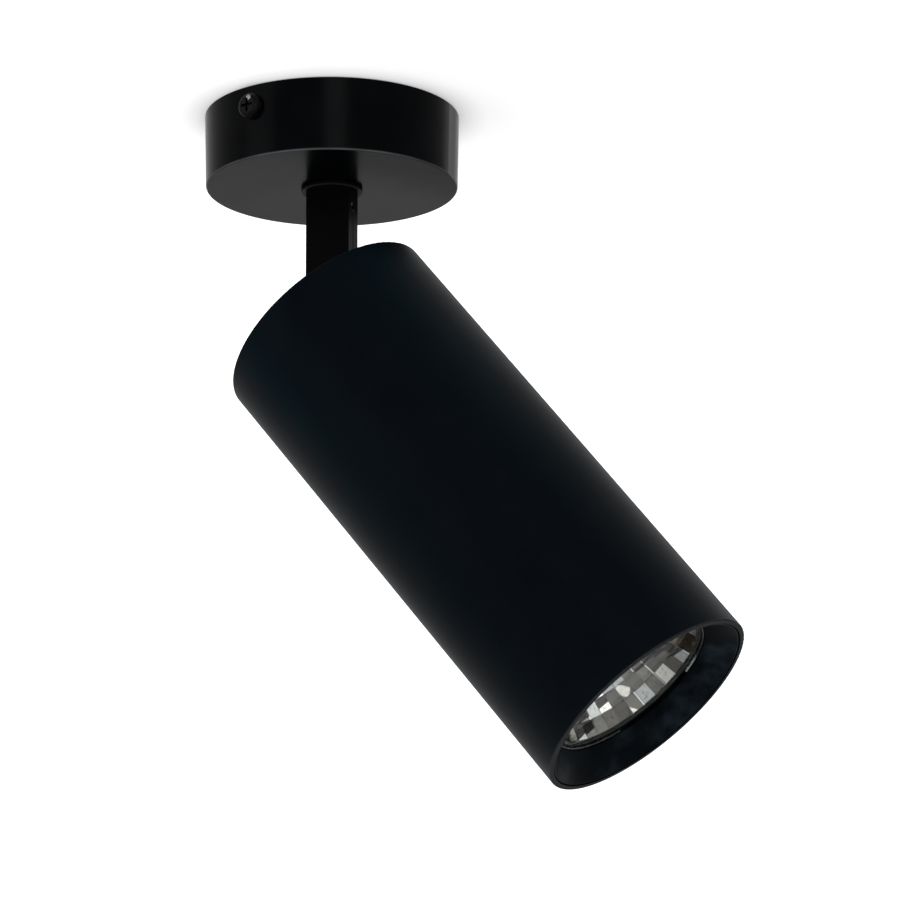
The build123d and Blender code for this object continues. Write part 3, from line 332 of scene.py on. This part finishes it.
def blackened(name, glint_chips):
    """Black-finished steel, bare in flecks; each chip is a place and size, bare to paint a glint.
    """
    material, graph, shader, where = start_material(name, IOR=1.12)
    cloud = graph.noise(where, scale=420.0, detail=4.0, rough=0.6)
    ragged = graph.noise(where, scale=1500.0, rough=0.6)
    tone = graph.mix(graph.ramp(cloud, *NOISE_UPPER), srgb(6, 6, 7), srgb(15, 15, 16))
    bare = graph.ramp(graph.noise(where, scale=900.0), 0.74, 0.82)
    # each chip is bare metal placed to paint a glint
    for place, size in glint_chips:
        away = graph.math("DIVIDE", graph.distance(where, place), size)
        near = graph.math("SUBTRACT", 1.0, away)
        torn = graph.math("ADD", near, graph.math("MULTIPLY", ragged, 0.5))
        bare = graph.math("MAXIMUM", bare, graph.ramp(torn, 0.45, 0.60))
    graph.give(shader, "Base Color", graph.mix(bare, tone, BARE_STEEL))
    graph.give(shader, "Metallic", bare)
    rough = graph.ramp(cloud, *NOISE_SPAN, to_low=0.26, to_high=0.38)
    graph.give(shader, "Roughness", rough)
    graph.give(shader, "Normal", graph.bump(cloud, strength=0.15, distance=0.00003))
    return material


def plated_steel(name, colour, roughness):
    """Plated or bare metal, drawn and a little clouded."""
    material, graph, shader, where = start_material(name, Metallic=1.0)
    cloud = graph.noise(where, scale=260.0, detail=4.0, rough=0.6)
    stretched = graph.add(
        "ShaderNodeMapping", ("Vector", where), ("Scale", (900.0, 900.0, 60.0))
    )
    drawn = graph.noise(stretched.outputs[0], scale=2.0, detail=2.0)
    tone = graph.mix(graph.ramp(cloud, *NOISE_UPPER), darker(colour, 0.72), colour)
    graph.give(shader, "Base Color", tone)
    rough = graph.ramp(cloud, 0.3, 0.75, to_low=roughness, to_high=roughness + 0.16)
    graph.give(shader, "Roughness", rough)
    graph.give(shader, "Normal", graph.bump(drawn, strength=0.12, distance=0.00002))
    return material


OILED_DARK = (0.022, 0.023, 0.024, 1.0)
OILED_LIGHT = (0.045, 0.046, 0.047, 1.0)
# The bare wire at the spring's end paints the highlight there.
BARE_WIRE = (0.34, 0.35, 0.35, 1.0)
BARE_WIRE_LENGTH = 0.0050
BARE_WIRE_FADE = 0.0025


def spring_wire(name, bare_end):
    """Oil-blackened spring wire, its end bare, which paints the highlight at its end."""
    material, graph, shader, where = start_material(name, Metallic=1.0)
    cloud = graph.noise(where, scale=700.0, rough=0.6)
    torn = graph.math("MULTIPLY", graph.math("SUBTRACT", cloud, 0.5), 0.004)
    near = graph.math("ADD", graph.distance(where, bare_end), torn)
    # bare metal at the end paints its highlight
    bare = graph.ramp(
        near, BARE_WIRE_LENGTH, BARE_WIRE_LENGTH + BARE_WIRE_FADE, to_low=1.0, to_high=0.0
    )
    oiled = graph.mix(graph.ramp(cloud, *NOISE_UPPER), OILED_DARK, OILED_LIGHT)
    graph.give(shader, "Base Color", graph.mix(bare, oiled, BARE_WIRE))
    rough = graph.ramp(cloud, *NOISE_SPAN, to_low=0.16, to_high=0.30)
    graph.give(shader, "Roughness", rough)
    return material


def moulded_plastic(name, colour, roughness, weight):
    """Matt plastic with faint flow marks; weight is its depth of light."""
    material, graph, shader, where = start_material(name, Subsurface_Weight=weight)
    shader.inputs["Subsurface Radius"].default_value = (0.0012, 0.0010, 0.0008)
    skin = graph.noise(where, scale=1400.0)
    flow = graph.noise(where, scale=70.0, detail=2.0)
    tone = graph.mix(graph.ramp(flow, *NOISE_SPAN), darker(colour, 0.86), colour)
    graph.give(shader, "Base Color", tone)
    rough = graph.ramp(skin, *NOISE_SPAN, to_low=roughness - 0.05, to_high=roughness + 0.08)
    graph.give(shader, "Roughness", rough)
    graph.give(shader, "Normal", graph.bump(skin, strength=0.15, distance=0.00003))
    return material


def fired_ceramic(name, colour):
    """Unglazed steatite: fine grain, faint grey flecks, slight wax-like depth."""
    material, graph, shader, where = start_material(name, Subsurface_Weight=0.08)
    shader.inputs["Subsurface Radius"].default_value = (0.0010, 0.0009, 0.0008)
    grain = graph.noise(where, scale=1800.0)
    fleck = graph.ramp(graph.cells(where, scale=700.0), 0.06, 0.16)
    graph.give(shader, "Base Color", graph.mix(fleck, darker(colour, 0.74), colour))
    rough = graph.ramp(grain, *NOISE_SPAN, to_low=0.55, to_high=0.72)
    graph.give(shader, "Roughness", rough)
    graph.give(shader, "Normal", graph.bump(grain, strength=0.3, distance=0.00004))
    return material


def woven_lead(name, colour):
    """Glass-fibre sleeve over silicone: two sets of strands that cross."""
    material, graph, shader, where = start_material(name, Sheen_Weight=0.2, Roughness=0.75)
    waves = []
    for lean in (1.0, -1.0):
        turned = graph.add(
            "ShaderNodeMapping", ("Vector", where), ("Rotation", (0.6 * lean, 0.7 * lean, 0.0))
        )
        wave = graph.add(
            "ShaderNodeTexWave",
            ("Vector", turned.outputs[0]),
            ("Scale", 620.0),
            ("Distortion", 0.6),
            bands_direction="Z",
        )
        waves.append(wave.outputs["Fac"])
    weave = graph.math("MAXIMUM", *waves)
    tone = graph.mix(graph.ramp(weave, 0.35, 0.8), darker(colour, 0.55), colour)
    graph.give(shader, "Base Color", tone)
    graph.give(shader, "Normal", graph.bump(weave, strength=0.6, distance=0.00008))
    return material


def turned_ring(name):
    """The ring's matt black coat over fine turned steps, with pale bluish patches that paint a
    sheen.
    """
    material, graph, shader, where = start_material(name, IOR=1.06, Specular_Tint=COOL_TINT)
    radius, depth = radius_and_depth(graph, head_place(graph, where))
    pebble = graph.noise(where, scale=5200.0, detail=2.0, rough=0.6)
    patch = graph.noise(where, scale=120.0)
    lines = graph.add(
        "ShaderNodeTexWave",
        ("Vector", graph.add("ShaderNodeCombineXYZ", (0, radius), (1, depth)).outputs[0]),
        ("Scale", 900.0),
        ("Distortion", 0.4),
    ).outputs["Fac"]
    tone = graph.mix(graph.ramp(patch, *NOISE_SPAN), srgb(6, 9, 12), srgb(11, 15, 18))
    # painted sheen: pale bluish patches on the ring
    sheen_haze = graph.ramp(graph.noise(where, scale=52.0, detail=4.0, rough=0.6), 0.48, 0.72)
    graph.give(shader, "Base Color", graph.mix(sheen_haze, tone, srgb(30, 37, 44)))
    rough = graph.ramp(patch, *NOISE_SPAN, to_low=0.33, to_high=0.42)
    graph.give(shader, "Roughness", rough)
    turned = graph.bump(lines, strength=0.10, distance=0.00002)
    skin = graph.bump(pebble, strength=0.25, distance=0.00003, before=turned)
    graph.give(shader, "Normal", skin)
    return material


# The lamp's mirror: its parabola in the head's frame, and its facets.
MIRROR_TIP = 0.1107
MIRROR_DEPTH = 0.0304
MIRROR_RADIUS = 0.0241
MIRROR_HOLE = 0.0065
MIRROR_METALLIC = 0.84
LAMP_EDGE_METALLIC = 0.14
LAMP_EDGE_BLEND = 0.0002
FACET_COLUMNS = 36
FACET_ROWS = 10
FACET_BULGE = 0.10
FACET_LEAN = 0.14
FACET_SEED = 11.0

# Facets' tones, and how rare the pale, bright and edge-lit ones are. The pale and bright facets
# are painted reflections of light; a brown patch is a painted dark reflection.
GREY_FACETS = ((0.075, 0.071, 0.066, 1.0), (0.235, 0.226, 0.210, 1.0))
PALE_REFLECTION_FACET = (0.43, 0.44, 0.435, 1.0)
PALE_CHANCE = (0.78, 0.80)
BRIGHT_REFLECTION_FACET = (0.82, 0.80, 0.75, 1.0)
BRIGHT_CHANCE = (0.89, 0.91)
BRIGHT_ROW = 7.5  # bright facets are more usual within this many rows of it
BRIGHT_ROW_REACH = 3.0
BRIGHT_ROW_HELP = 0.14
# A painted dark reflection: brown facets round a place, where they reflect the dark ring.
DARK_REFLECTION_FACET = (0.20, 0.155, 0.105, 1.0)
DARK_REFLECTION_PLACE = (0.0165, -0.0150, 0.136)
DARK_REFLECTION_RADIUS = (0.0075, 0.0085)
DARK_REFLECTION_SCATTER = 0.005
STREAK_TONE = (0.06, 0.058, 0.055, 1.0)
SEAM_TONE = (0.05, 0.048, 0.045, 1.0)
LIT_SEAM_TONE = (0.80, 0.80, 0.78, 1.0)
LIT_SEAM_CHANCE = (0.58, 0.62)
LAMP_EDGE_TONE = (0.060, 0.066, 0.060, 1.0)


def facet_grid(graph, place, depth):
    """Column and row at the place: whole numbers are seams, and facets lie between them."""
    x, y, _ = graph.split(place)
    turn = graph.math("ADD", graph.math("ARCTAN2", y, x), pi)
    column = graph.math("MULTIPLY", turn, FACET_COLUMNS / (2 * pi))
    share = graph.math("DIVIDE", graph.math("SUBTRACT", depth, MIRROR_TIP), MIRROR_DEPTH)
    share = graph.math("MAXIMUM", share, 0.0)
    opening = graph.math("MULTIPLY", graph.math("SQRT", share), MIRROR_RADIUS)
    row = graph.math(
        "MULTIPLY",
        graph.math("SUBTRACT", opening, MIRROR_HOLE),
        FACET_ROWS / (MIRROR_RADIUS - MIRROR_HOLE),
    )
    return column, row


def facet_chances(graph, column, row):
    """Four numbers from 0 to 1 that are the same all over a facet: one, and three more."""
    cell = graph.add(
        "ShaderNodeCombineXYZ",
        (0, graph.math("FLOOR", column)),
        (1, graph.math("FLOOR", row)),
        (2, FACET_SEED),
    )
    chance = graph.add("ShaderNodeTexWhiteNoise", ("Vector", cell.outputs[0]))
    return chance.outputs["Value"], graph.split(chance.outputs["Color"])


def facet_tone(graph, place, row, chance, chances):
    """Mostly grey; pale and bright facets are painted reflections of light, and a brown patch is a
    painted dark reflection.
    """
    tone = graph.mix(chance, *GREY_FACETS)
    # pale and bright facets: painted reflections of light
    tone = graph.mix(graph.ramp(chances[1], *PALE_CHANCE), tone, PALE_REFLECTION_FACET)
    help_given = graph.math(
        "MULTIPLY", band(graph, row, BRIGHT_ROW, BRIGHT_ROW_REACH), BRIGHT_ROW_HELP
    )
    lucky = graph.math("ADD", chances[2], help_given)
    tone = graph.mix(graph.ramp(lucky, *BRIGHT_CHANCE), tone, BRIGHT_REFLECTION_FACET)
    # painted dark reflection, brown
    scatter = graph.math("MULTIPLY", chances[0], DARK_REFLECTION_SCATTER)
    from_dark_reflection = graph.math("ADD", graph.distance(place, DARK_REFLECTION_PLACE), scatter)
    dark_reflection = graph.ramp(from_dark_reflection, *DARK_REFLECTION_RADIUS, to_low=1.0, to_high=0.0)
    return graph.mix(dark_reflection, tone, DARK_REFLECTION_FACET)


def facet_seams(graph, tone, across, along, chances):
    """The tone with a dark seam round each facet, and with light caught on some sides."""
    rim = graph.math(
        "MAXIMUM", graph.math("ABSOLUTE", across), graph.math("ABSOLUTE", along)
    )
    tone = graph.mix(graph.ramp(rim, 0.44, 0.49, to_high=0.6), tone, SEAM_TONE)
    one_side = graph.ramp(across, 0.38, 0.42, to_high=0.8)
    lit = graph.math("MULTIPLY", one_side, graph.ramp(chances[0], *LIT_SEAM_CHANCE))
    return graph.mix(lit, tone, LIT_SEAM_TONE)


def facet_normal(graph, across, along, chances):
    """The surface's direction, as each facet bulges a little and stands a little off its place."""
    flat = graph.add("ShaderNodeNewGeometry").outputs["Normal"]
    normal = graph.turn_normal(flat, "WORLD", "OBJECT")
    round_about = graph.vector("NORMALIZE", graph.vector("CROSS_PRODUCT", FORWARD, normal))
    lengthways = graph.vector("CROSS_PRODUCT", normal, round_about)
    for direction, bulge, chance in (
        (round_about, across, chances[0]),
        (lengthways, along, chances[1]),
    ):
        off = graph.math("SUBTRACT", chance, 0.5)
        lean = graph.math(
            "ADD",
            graph.math("MULTIPLY", bulge, FACET_BULGE),
            graph.math("MULTIPLY", off, FACET_LEAN),
        )
        normal = graph.vector("ADD", normal, graph.vector("SCALE", direction, scale=lean))
    return graph.turn_normal(graph.vector("NORMALIZE", normal), "OBJECT", "WORLD")


def lamp_mirror(name):
    """The reflector's coated facets: cushion-shaped, each with its own lean and tone, some with
    painted reflections.
    """
    material, graph, shader, where = start_material(name)
    place = head_place(graph, where)
    radius, depth = radius_and_depth(graph, place)
    column, row = facet_grid(graph, place, depth)
    across = graph.math("SUBTRACT", graph.math("FRACT", column), 0.5)
    along = graph.math("SUBTRACT", graph.math("FRACT", row), 0.5)
    chance, chances = facet_chances(graph, column, row)

    tone = facet_tone(graph, place, row, chance, chances)
    streak = graph.noise(where, scale=1100.0, rough=0.6)
    tone = graph.mix(graph.ramp(streak, 0.5, 0.8, to_high=0.45), tone, STREAK_TONE)
    tone = facet_seams(graph, tone, across, along, chances)
    lamp_edge = graph.ramp(radius, MIRROR_RADIUS, MIRROR_RADIUS + LAMP_EDGE_BLEND)
    graph.give(shader, "Base Color", graph.mix(lamp_edge, tone, LAMP_EDGE_TONE))
    metallic_lost = graph.math("MULTIPLY", lamp_edge, MIRROR_METALLIC - LAMP_EDGE_METALLIC)
    graph.give(shader, "Metallic", graph.math("SUBTRACT", MIRROR_METALLIC, metallic_lost))
    rough = graph.ramp(streak, *NOISE_SPAN, to_low=0.01, to_high=0.03)
    graph.give(shader, "Roughness", rough)
    graph.give(shader, "Normal", facet_normal(graph, across, along, chances))
    return material


def clear_glass(name, ior, roughness, ripple):
    """Pressed glass with a thin film of dust and a slight ripple."""
    material, graph, shader, where = start_material(name, Transmission_Weight=1.0, IOR=ior)
    shader.inputs["Base Color"].default_value = (0.97, 0.985, 0.98, 1.0)
    film = graph.noise(where, scale=60.0)
    rough = graph.ramp(film, 0.4, 0.8, to_low=roughness, to_high=roughness + 0.02)
    graph.give(shader, "Roughness", rough)
    wavy = graph.noise(where, scale=140.0, detail=1.0)
    graph.give(shader, "Normal", graph.bump(wavy, strength=ripple, distance=0.0001))
    return material


def soft_rubber(name):
    """Black rubber with a grey bloom."""
    material, graph, shader, where = start_material(name)
    bloom = graph.noise(where, scale=300.0, detail=4.0)
    tone = graph.mix(graph.ramp(bloom, 0.35, 0.75), srgb(16, 16, 17), srgb(34, 34, 35))
    graph.give(shader, "Base Color", tone)
    rough = graph.ramp(bloom, *NOISE_SPAN, to_low=0.6, to_high=0.8)
    graph.give(shader, "Roughness", rough)
    skin = graph.noise(where, scale=2500.0)
    graph.give(shader, "Normal", graph.bump(skin, strength=0.2, distance=0.00003))
    return material


# Places with a finish of their own: the canopy's and the collar's lower edge, with wear and a
# painted highlight, the tube's two ends in the head's frame, two bare spots, as a slipped tool
# leaves, with their sizes, placed to paint glints on screws, the lamp spring's end, bare to paint
# its highlight, and the side of the canopy's underside that has painted shade.
CANOPY_EDGE_RADIUS = 0.0369
CANOPY_EDGE_HEIGHT = CANOPY_BOTTOM + 0.0002
COLLAR_EDGE_RADIUS = 0.0088
COLLAR_EDGE_HEIGHT = -0.0226
TUBE_RADIUS = 0.0336
TUBE_FRONT = 0.1506
TUBE_BACK = -0.0015
SCREW_GLINT_CHIP = (Vector((-0.00872, -0.03878, -0.00418)), 0.0011)
GRUB_GLINT_CHIP = (Vector((0.00675, -0.0008, -0.0270)), 0.0009)
SPRING_END = PIVOT + UPWARD * 0.01105 - SIDEWARD * 0.02265 + FORWARD * 0.1427
PAINTED_SHADE_SIDE = (0.860, -0.510, 0.0)  # of the canopy's underside, where it has painted shade

canopy_coat = powder_coat(
    "canopy_coat",
    dark=srgb(2, 3, 4),
    light=srgb(4, 5, 7),
    ior=1.086,
    roughness=0.21,
    grain=3600.0,
    grain_depth=0.00002,
    # the canopy's lower edge: wear and a painted highlight
    edges=[
        dict(
            in_head=False,
            radius=CANOPY_EDGE_RADIUS,
            depth=CANOPY_EDGE_HEIGHT,
            reach=0.0005,
            share=0.75,
        )
    ],
    # painted shade on one side of the underside
    painted_shade=dict(direction=PAINTED_SHADE_SIDE, top=CANOPY_EDGE_HEIGHT),
)
arm_coat = powder_coat(
    "arm_coat",
    dark=srgb(8, 8, 9),
    light=srgb(10, 10, 11),
    ior=1.06,
    roughness=0.34,
    grain=4200.0,
    grain_depth=0.00002,
    # the collar's lower edge: wear and a painted highlight
    edges=[
        dict(
            in_head=False,
            radius=COLLAR_EDGE_RADIUS,
            depth=COLLAR_EDGE_HEIGHT,
            reach=0.0005,
            share=0.2,
        )
    ],
)
head_coat = powder_coat(
    "head_coat",
    dark=srgb(3, 6, 10),
    light=srgb(5, 8, 13),
    ior=1.10,
    roughness=0.43,
    grain=4400.0,
    grain_depth=0.00003,
    edges=[
        dict(in_head=True, radius=TUBE_RADIUS, depth=TUBE_FRONT, reach=0.0004, share=0.3),
        dict(in_head=True, radius=TUBE_RADIUS, depth=TUBE_BACK, reach=0.0004, share=0.2),
    ],
    tint=COOL_TINT,
    # painted blue-green sheen, seen aslant
    sheen=srgb(1, 13, 19),
)
# bare spots that paint glints on a canopy screw and on the grub screw
black_steel = blackened("black_steel", glint_chips=[SCREW_GLINT_CHIP, GRUB_GLINT_CHIP])
zinc_steel = plated_steel("zinc_steel", (0.62, 0.62, 0.60, 1.0), roughness=0.26)
spring_steel = plated_steel("spring_steel", (0.66, 0.66, 0.65, 1.0), roughness=0.18)
lamp_wire = spring_wire("lamp_wire", SPRING_END)
brass = plated_steel("brass", (0.80, 0.60, 0.28, 1.0), roughness=0.22)
block_plastic = moulded_plastic(
    "block_plastic", (0.80, 0.79, 0.74, 1.0), roughness=0.45, weight=0.1
)
bush_plastic = moulded_plastic(
    "bush_plastic", (0.78, 0.78, 0.74, 1.0), roughness=0.40, weight=0.15
)
rubber = soft_rubber("rubber")
lead_sleeve = woven_lead("lead_sleeve", (0.78, 0.76, 0.70, 1.0))
holder_ceramic = fired_ceramic("holder_ceramic", (0.80, 0.77, 0.70, 1.0))
lamp_ceramic = fired_ceramic("lamp_ceramic", (0.84, 0.83, 0.79, 1.0))
ring_coat = turned_ring("ring_coat")
mirror = lamp_mirror("lamp_mirror_coat")
front_glass = clear_glass("front_glass", ior=1.05, roughness=0.0, ripple=0.02)
bulb_glass = clear_glass("bulb_glass", ior=1.45, roughness=0.04, ripple=0.05)

LOOKS = {
    canopy_coat: ["canopy"],
    arm_coat: ["arm", "swivel_stem"],
    head_coat: ["head_tube", "rear_cap"],
    ring_coat: ["front_ring"],
    black_steel: ["canopy_screws", "arm_grub_screw", "tilt_yoke", "pivot_screw", "yoke_screws"],
    zinc_steel: [
        "ceiling_bracket",
        "terminal_screws",
        "block_screw",
        "stop_washer",
        "stem_nut",
        "stem_lock_nut",
        "pivot_sleeve",
        "pivot_nut",
        "holder_bracket",
        "holder_screws",
        "lamp_pins",
    ],
    spring_steel: ["disc_spring", "pivot_spring_washer"],
    lamp_wire: ["lamp_spring"],
    brass: ["earth_screw", "earth_washer", "terminal_clamps", "holder_contacts"],
    block_plastic: ["terminal_block"],
    bush_plastic: ["swivel_bush", "friction_washers"],
    rubber: ["lead_grommet"],
    lead_sleeve: ["supply_leads", "arm_leads", "head_leads"],
    holder_ceramic: ["lamp_holder"],
    lamp_ceramic: ["lamp_base"],
    mirror: ["lamp_reflector"],
    front_glass: ["lamp_glass"],
    bulb_glass: ["lamp_burner"],
}
for material, names in LOOKS.items():
    for name in names:
        for material_slot in nodes[name].material_slots:
            material_slot.material = material


# --- world, ceiling and lights ----------------------------------------------------------------
LIGHTS_AIM = Vector((0.045, 0.0, -0.10))  # the object's middle
PANELS_MIDDLE = Vector((0.0, 0.0, -0.02))
PANEL_DISTANCE = 1.5
FILL_LEVEL = 0.55  # of the world on matt surfaces
DEEP_LEVEL = 0.50  # of the room far below, as gloss shows it
DEEP_BELOW = -0.72  # height of a direction, where straight down is -1
WHITE_ABOVE = -0.42

CEILING_REACH = 12.0
CEILING_GAP = 0.0002  # above the canopy's rim
CEILING_PAINT = (0.64, 0.64, 0.64, 1.0)
SHADOW_REACH = 0.009  # of the painted part of the shadow, from the canopy's edge
EDGE_GLOW = 0.27  # where the painted shadow is deepest
EDGE_GLOW_RISE = 0.33  # from there to the end of its reach
FAR_GLOW = 0.35  # more, from the near to the far radius
FAR_GLOW_RADII = (0.055, 0.14)


def seen_directly(graph):
    """1 for rays that show the background: straight, mirrored or through glass."""
    rays = graph.add("ShaderNodeLightPath")
    shown = graph.math("MAXIMUM", rays.outputs["Is Camera Ray"], rays.outputs["Is Glossy Ray"])
    return graph.math("MAXIMUM", shown, rays.outputs["Is Transmission Ray"])


def make_world():
    """White where it is seen, softer on matt surfaces; mirrored, its floor is grey."""
    world = bpy.data.worlds.new("studio")
    world.use_nodes = True
    graph = Graph(world.node_tree)
    rays = graph.add("ShaderNodeLightPath")
    way = graph.add("ShaderNodeTexCoord").outputs["Generated"]
    room = graph.ramp(graph.split(way)[2], DEEP_BELOW, WHITE_ABOVE, to_low=DEEP_LEVEL)
    room = graph.math("MAXIMUM", room, rays.outputs["Is Camera Ray"])
    shown = seen_directly(graph)
    level = graph.math(
        "ADD",
        graph.math("MULTIPLY", shown, room),
        graph.math("MULTIPLY", graph.math("SUBTRACT", 1.0, shown), FILL_LEVEL),
    )
    sky = graph.add(
        "ShaderNodeBackground", ("Color", (1.0, 1.0, 1.0, 1.0)), ("Strength", level)
    )
    graph.add("ShaderNodeOutputWorld", (0, sky.outputs[0]))
    scene.world = world


def ceiling_glow(graph):
    """The ceiling's own brightness: least at the canopy's edge, in an even ring round it, which
    paints part of the canopy's shadow.
    """
    where = graph.add("ShaderNodeTexCoord").outputs["Object"]
    away = graph.distance(where, (0.0, 0.0, CEILING_GAP))
    off_edge = graph.math("MAXIMUM", graph.math("SUBTRACT", away, CANOPY_RADIUS), 0.0)
    rise = graph.math("MINIMUM", graph.math("DIVIDE", off_edge, SHADOW_REACH), 1.0)
    near = graph.math("MULTIPLY_ADD", graph.math("SQRT", rise), EDGE_GLOW_RISE, EDGE_GLOW)
    return graph.math("ADD", near, graph.ramp(away, *FAR_GLOW_RADII, to_high=FAR_GLOW))


def ceiling_material():
    material = bpy.data.materials.new("ceiling_paint")
    material.use_nodes = True
    graph = Graph(material.node_tree)
    paint = graph.add("ShaderNodeBsdfDiffuse", ("Color", CEILING_PAINT))
    # the glow paints part of the canopy's shadow on the ceiling
    glow = graph.add("ShaderNodeEmission", ("Strength", ceiling_glow(graph)))
    lit = graph.add("ShaderNodeAddShader", (0, paint.outputs[0]), (1, glow.outputs[0]))
    clear = graph.add("ShaderNodeBsdfTransparent")
    above = graph.add("ShaderNodeNewGeometry").outputs["Backfacing"]
    below = graph.math("SUBTRACT", 1.0, above)
    shown = graph.math("MULTIPLY", seen_directly(graph), below)
    both = graph.add(
        "ShaderNodeMixShader", (0, shown), (1, clear.outputs[0]), (2, lit.outputs[0])
    )
    graph.add("ShaderNodeOutputMaterial", (0, both.outputs[0]))
    return material


def make_ceiling():
    """A white ceiling, seen from below only, so the canopy's back shows in views from above."""
    mesh = bpy.data.meshes.new("ceiling")
    corners = [
        (x * CEILING_REACH, y * CEILING_REACH, CEILING_GAP)
        for x, y in ((-1, -1), (-1, 1), (1, 1), (1, -1))
    ]
    mesh.from_pydata(corners, [], [(0, 1, 2, 3)])
    mesh.materials.append(ceiling_material())
    ceiling = bpy.data.objects.new("ceiling", mesh)
    scene.collection.objects.link(ceiling)
    ceiling.visible_glossy = False


def soft_light(name, place, width, height, watts, mirrored=False):
    """An area light that only matt surfaces show, or only gloss where it is mirrored."""
    data = bpy.data.lights.new(name, "AREA")
    data.shape = "RECTANGLE"
    data.size = width
    data.size_y = height
    data.energy = watts
    light = bpy.data.objects.new(name, data)
    light.location = place
    light.rotation_euler = (LIGHTS_AIM - Vector(place)).to_track_quat("-Z", "Y").to_euler()
    light.visible_camera = False
    light.visible_glossy = mirrored
    light.visible_transmission = mirrored
    light.visible_diffuse = not mirrored
    scene.collection.objects.link(light)


def panel(name, azimuth, elevation, width, height, level):
    """A bright board that only gloss shows: level is its brightness where white is 1."""
    turn = radians(azimuth)
    rise = radians(elevation)
    way = Vector((cos(rise) * cos(turn), cos(rise) * sin(turn), sin(rise)))
    watts = level * pi * width * height
    place = PANELS_MIDDLE + way * PANEL_DISTANCE
    soft_light(name, place, width, height, watts, mirrored=True)


make_world()
make_ceiling()
for name, place, width, height, watts in (
    ("key", (-0.9, -1.1, -0.9), 0.9, 0.9, 6.0),
    ("side", (1.3, -0.3, -0.5), 0.7, 1.0, 3.0),
    ("below", (0.1, 0.3, -1.5), 1.4, 1.4, 8.0),
    ("above", (0.2, 0.4, 1.5), 1.2, 1.2, 9.0),
):
    soft_light(name, place, width, height, watts)
for name, azimuth, elevation, width, height, level in (
    ("strip", -62.5, 13.0, 0.45, 1.0, 3.5),
    ("left_board", -133.0, 13.0, 0.7, 0.9, 1.5),
    ("front_board", -84.0, -19.0, 0.34, 0.34, 4.0),
    ("low_board", -52.0, -14.0, 0.20, 0.30, 4.0),
    ("right_board", 67.5, 14.0, 0.35, 0.9, 1.8),
):
    panel(name, azimuth, elevation, width, height, level)
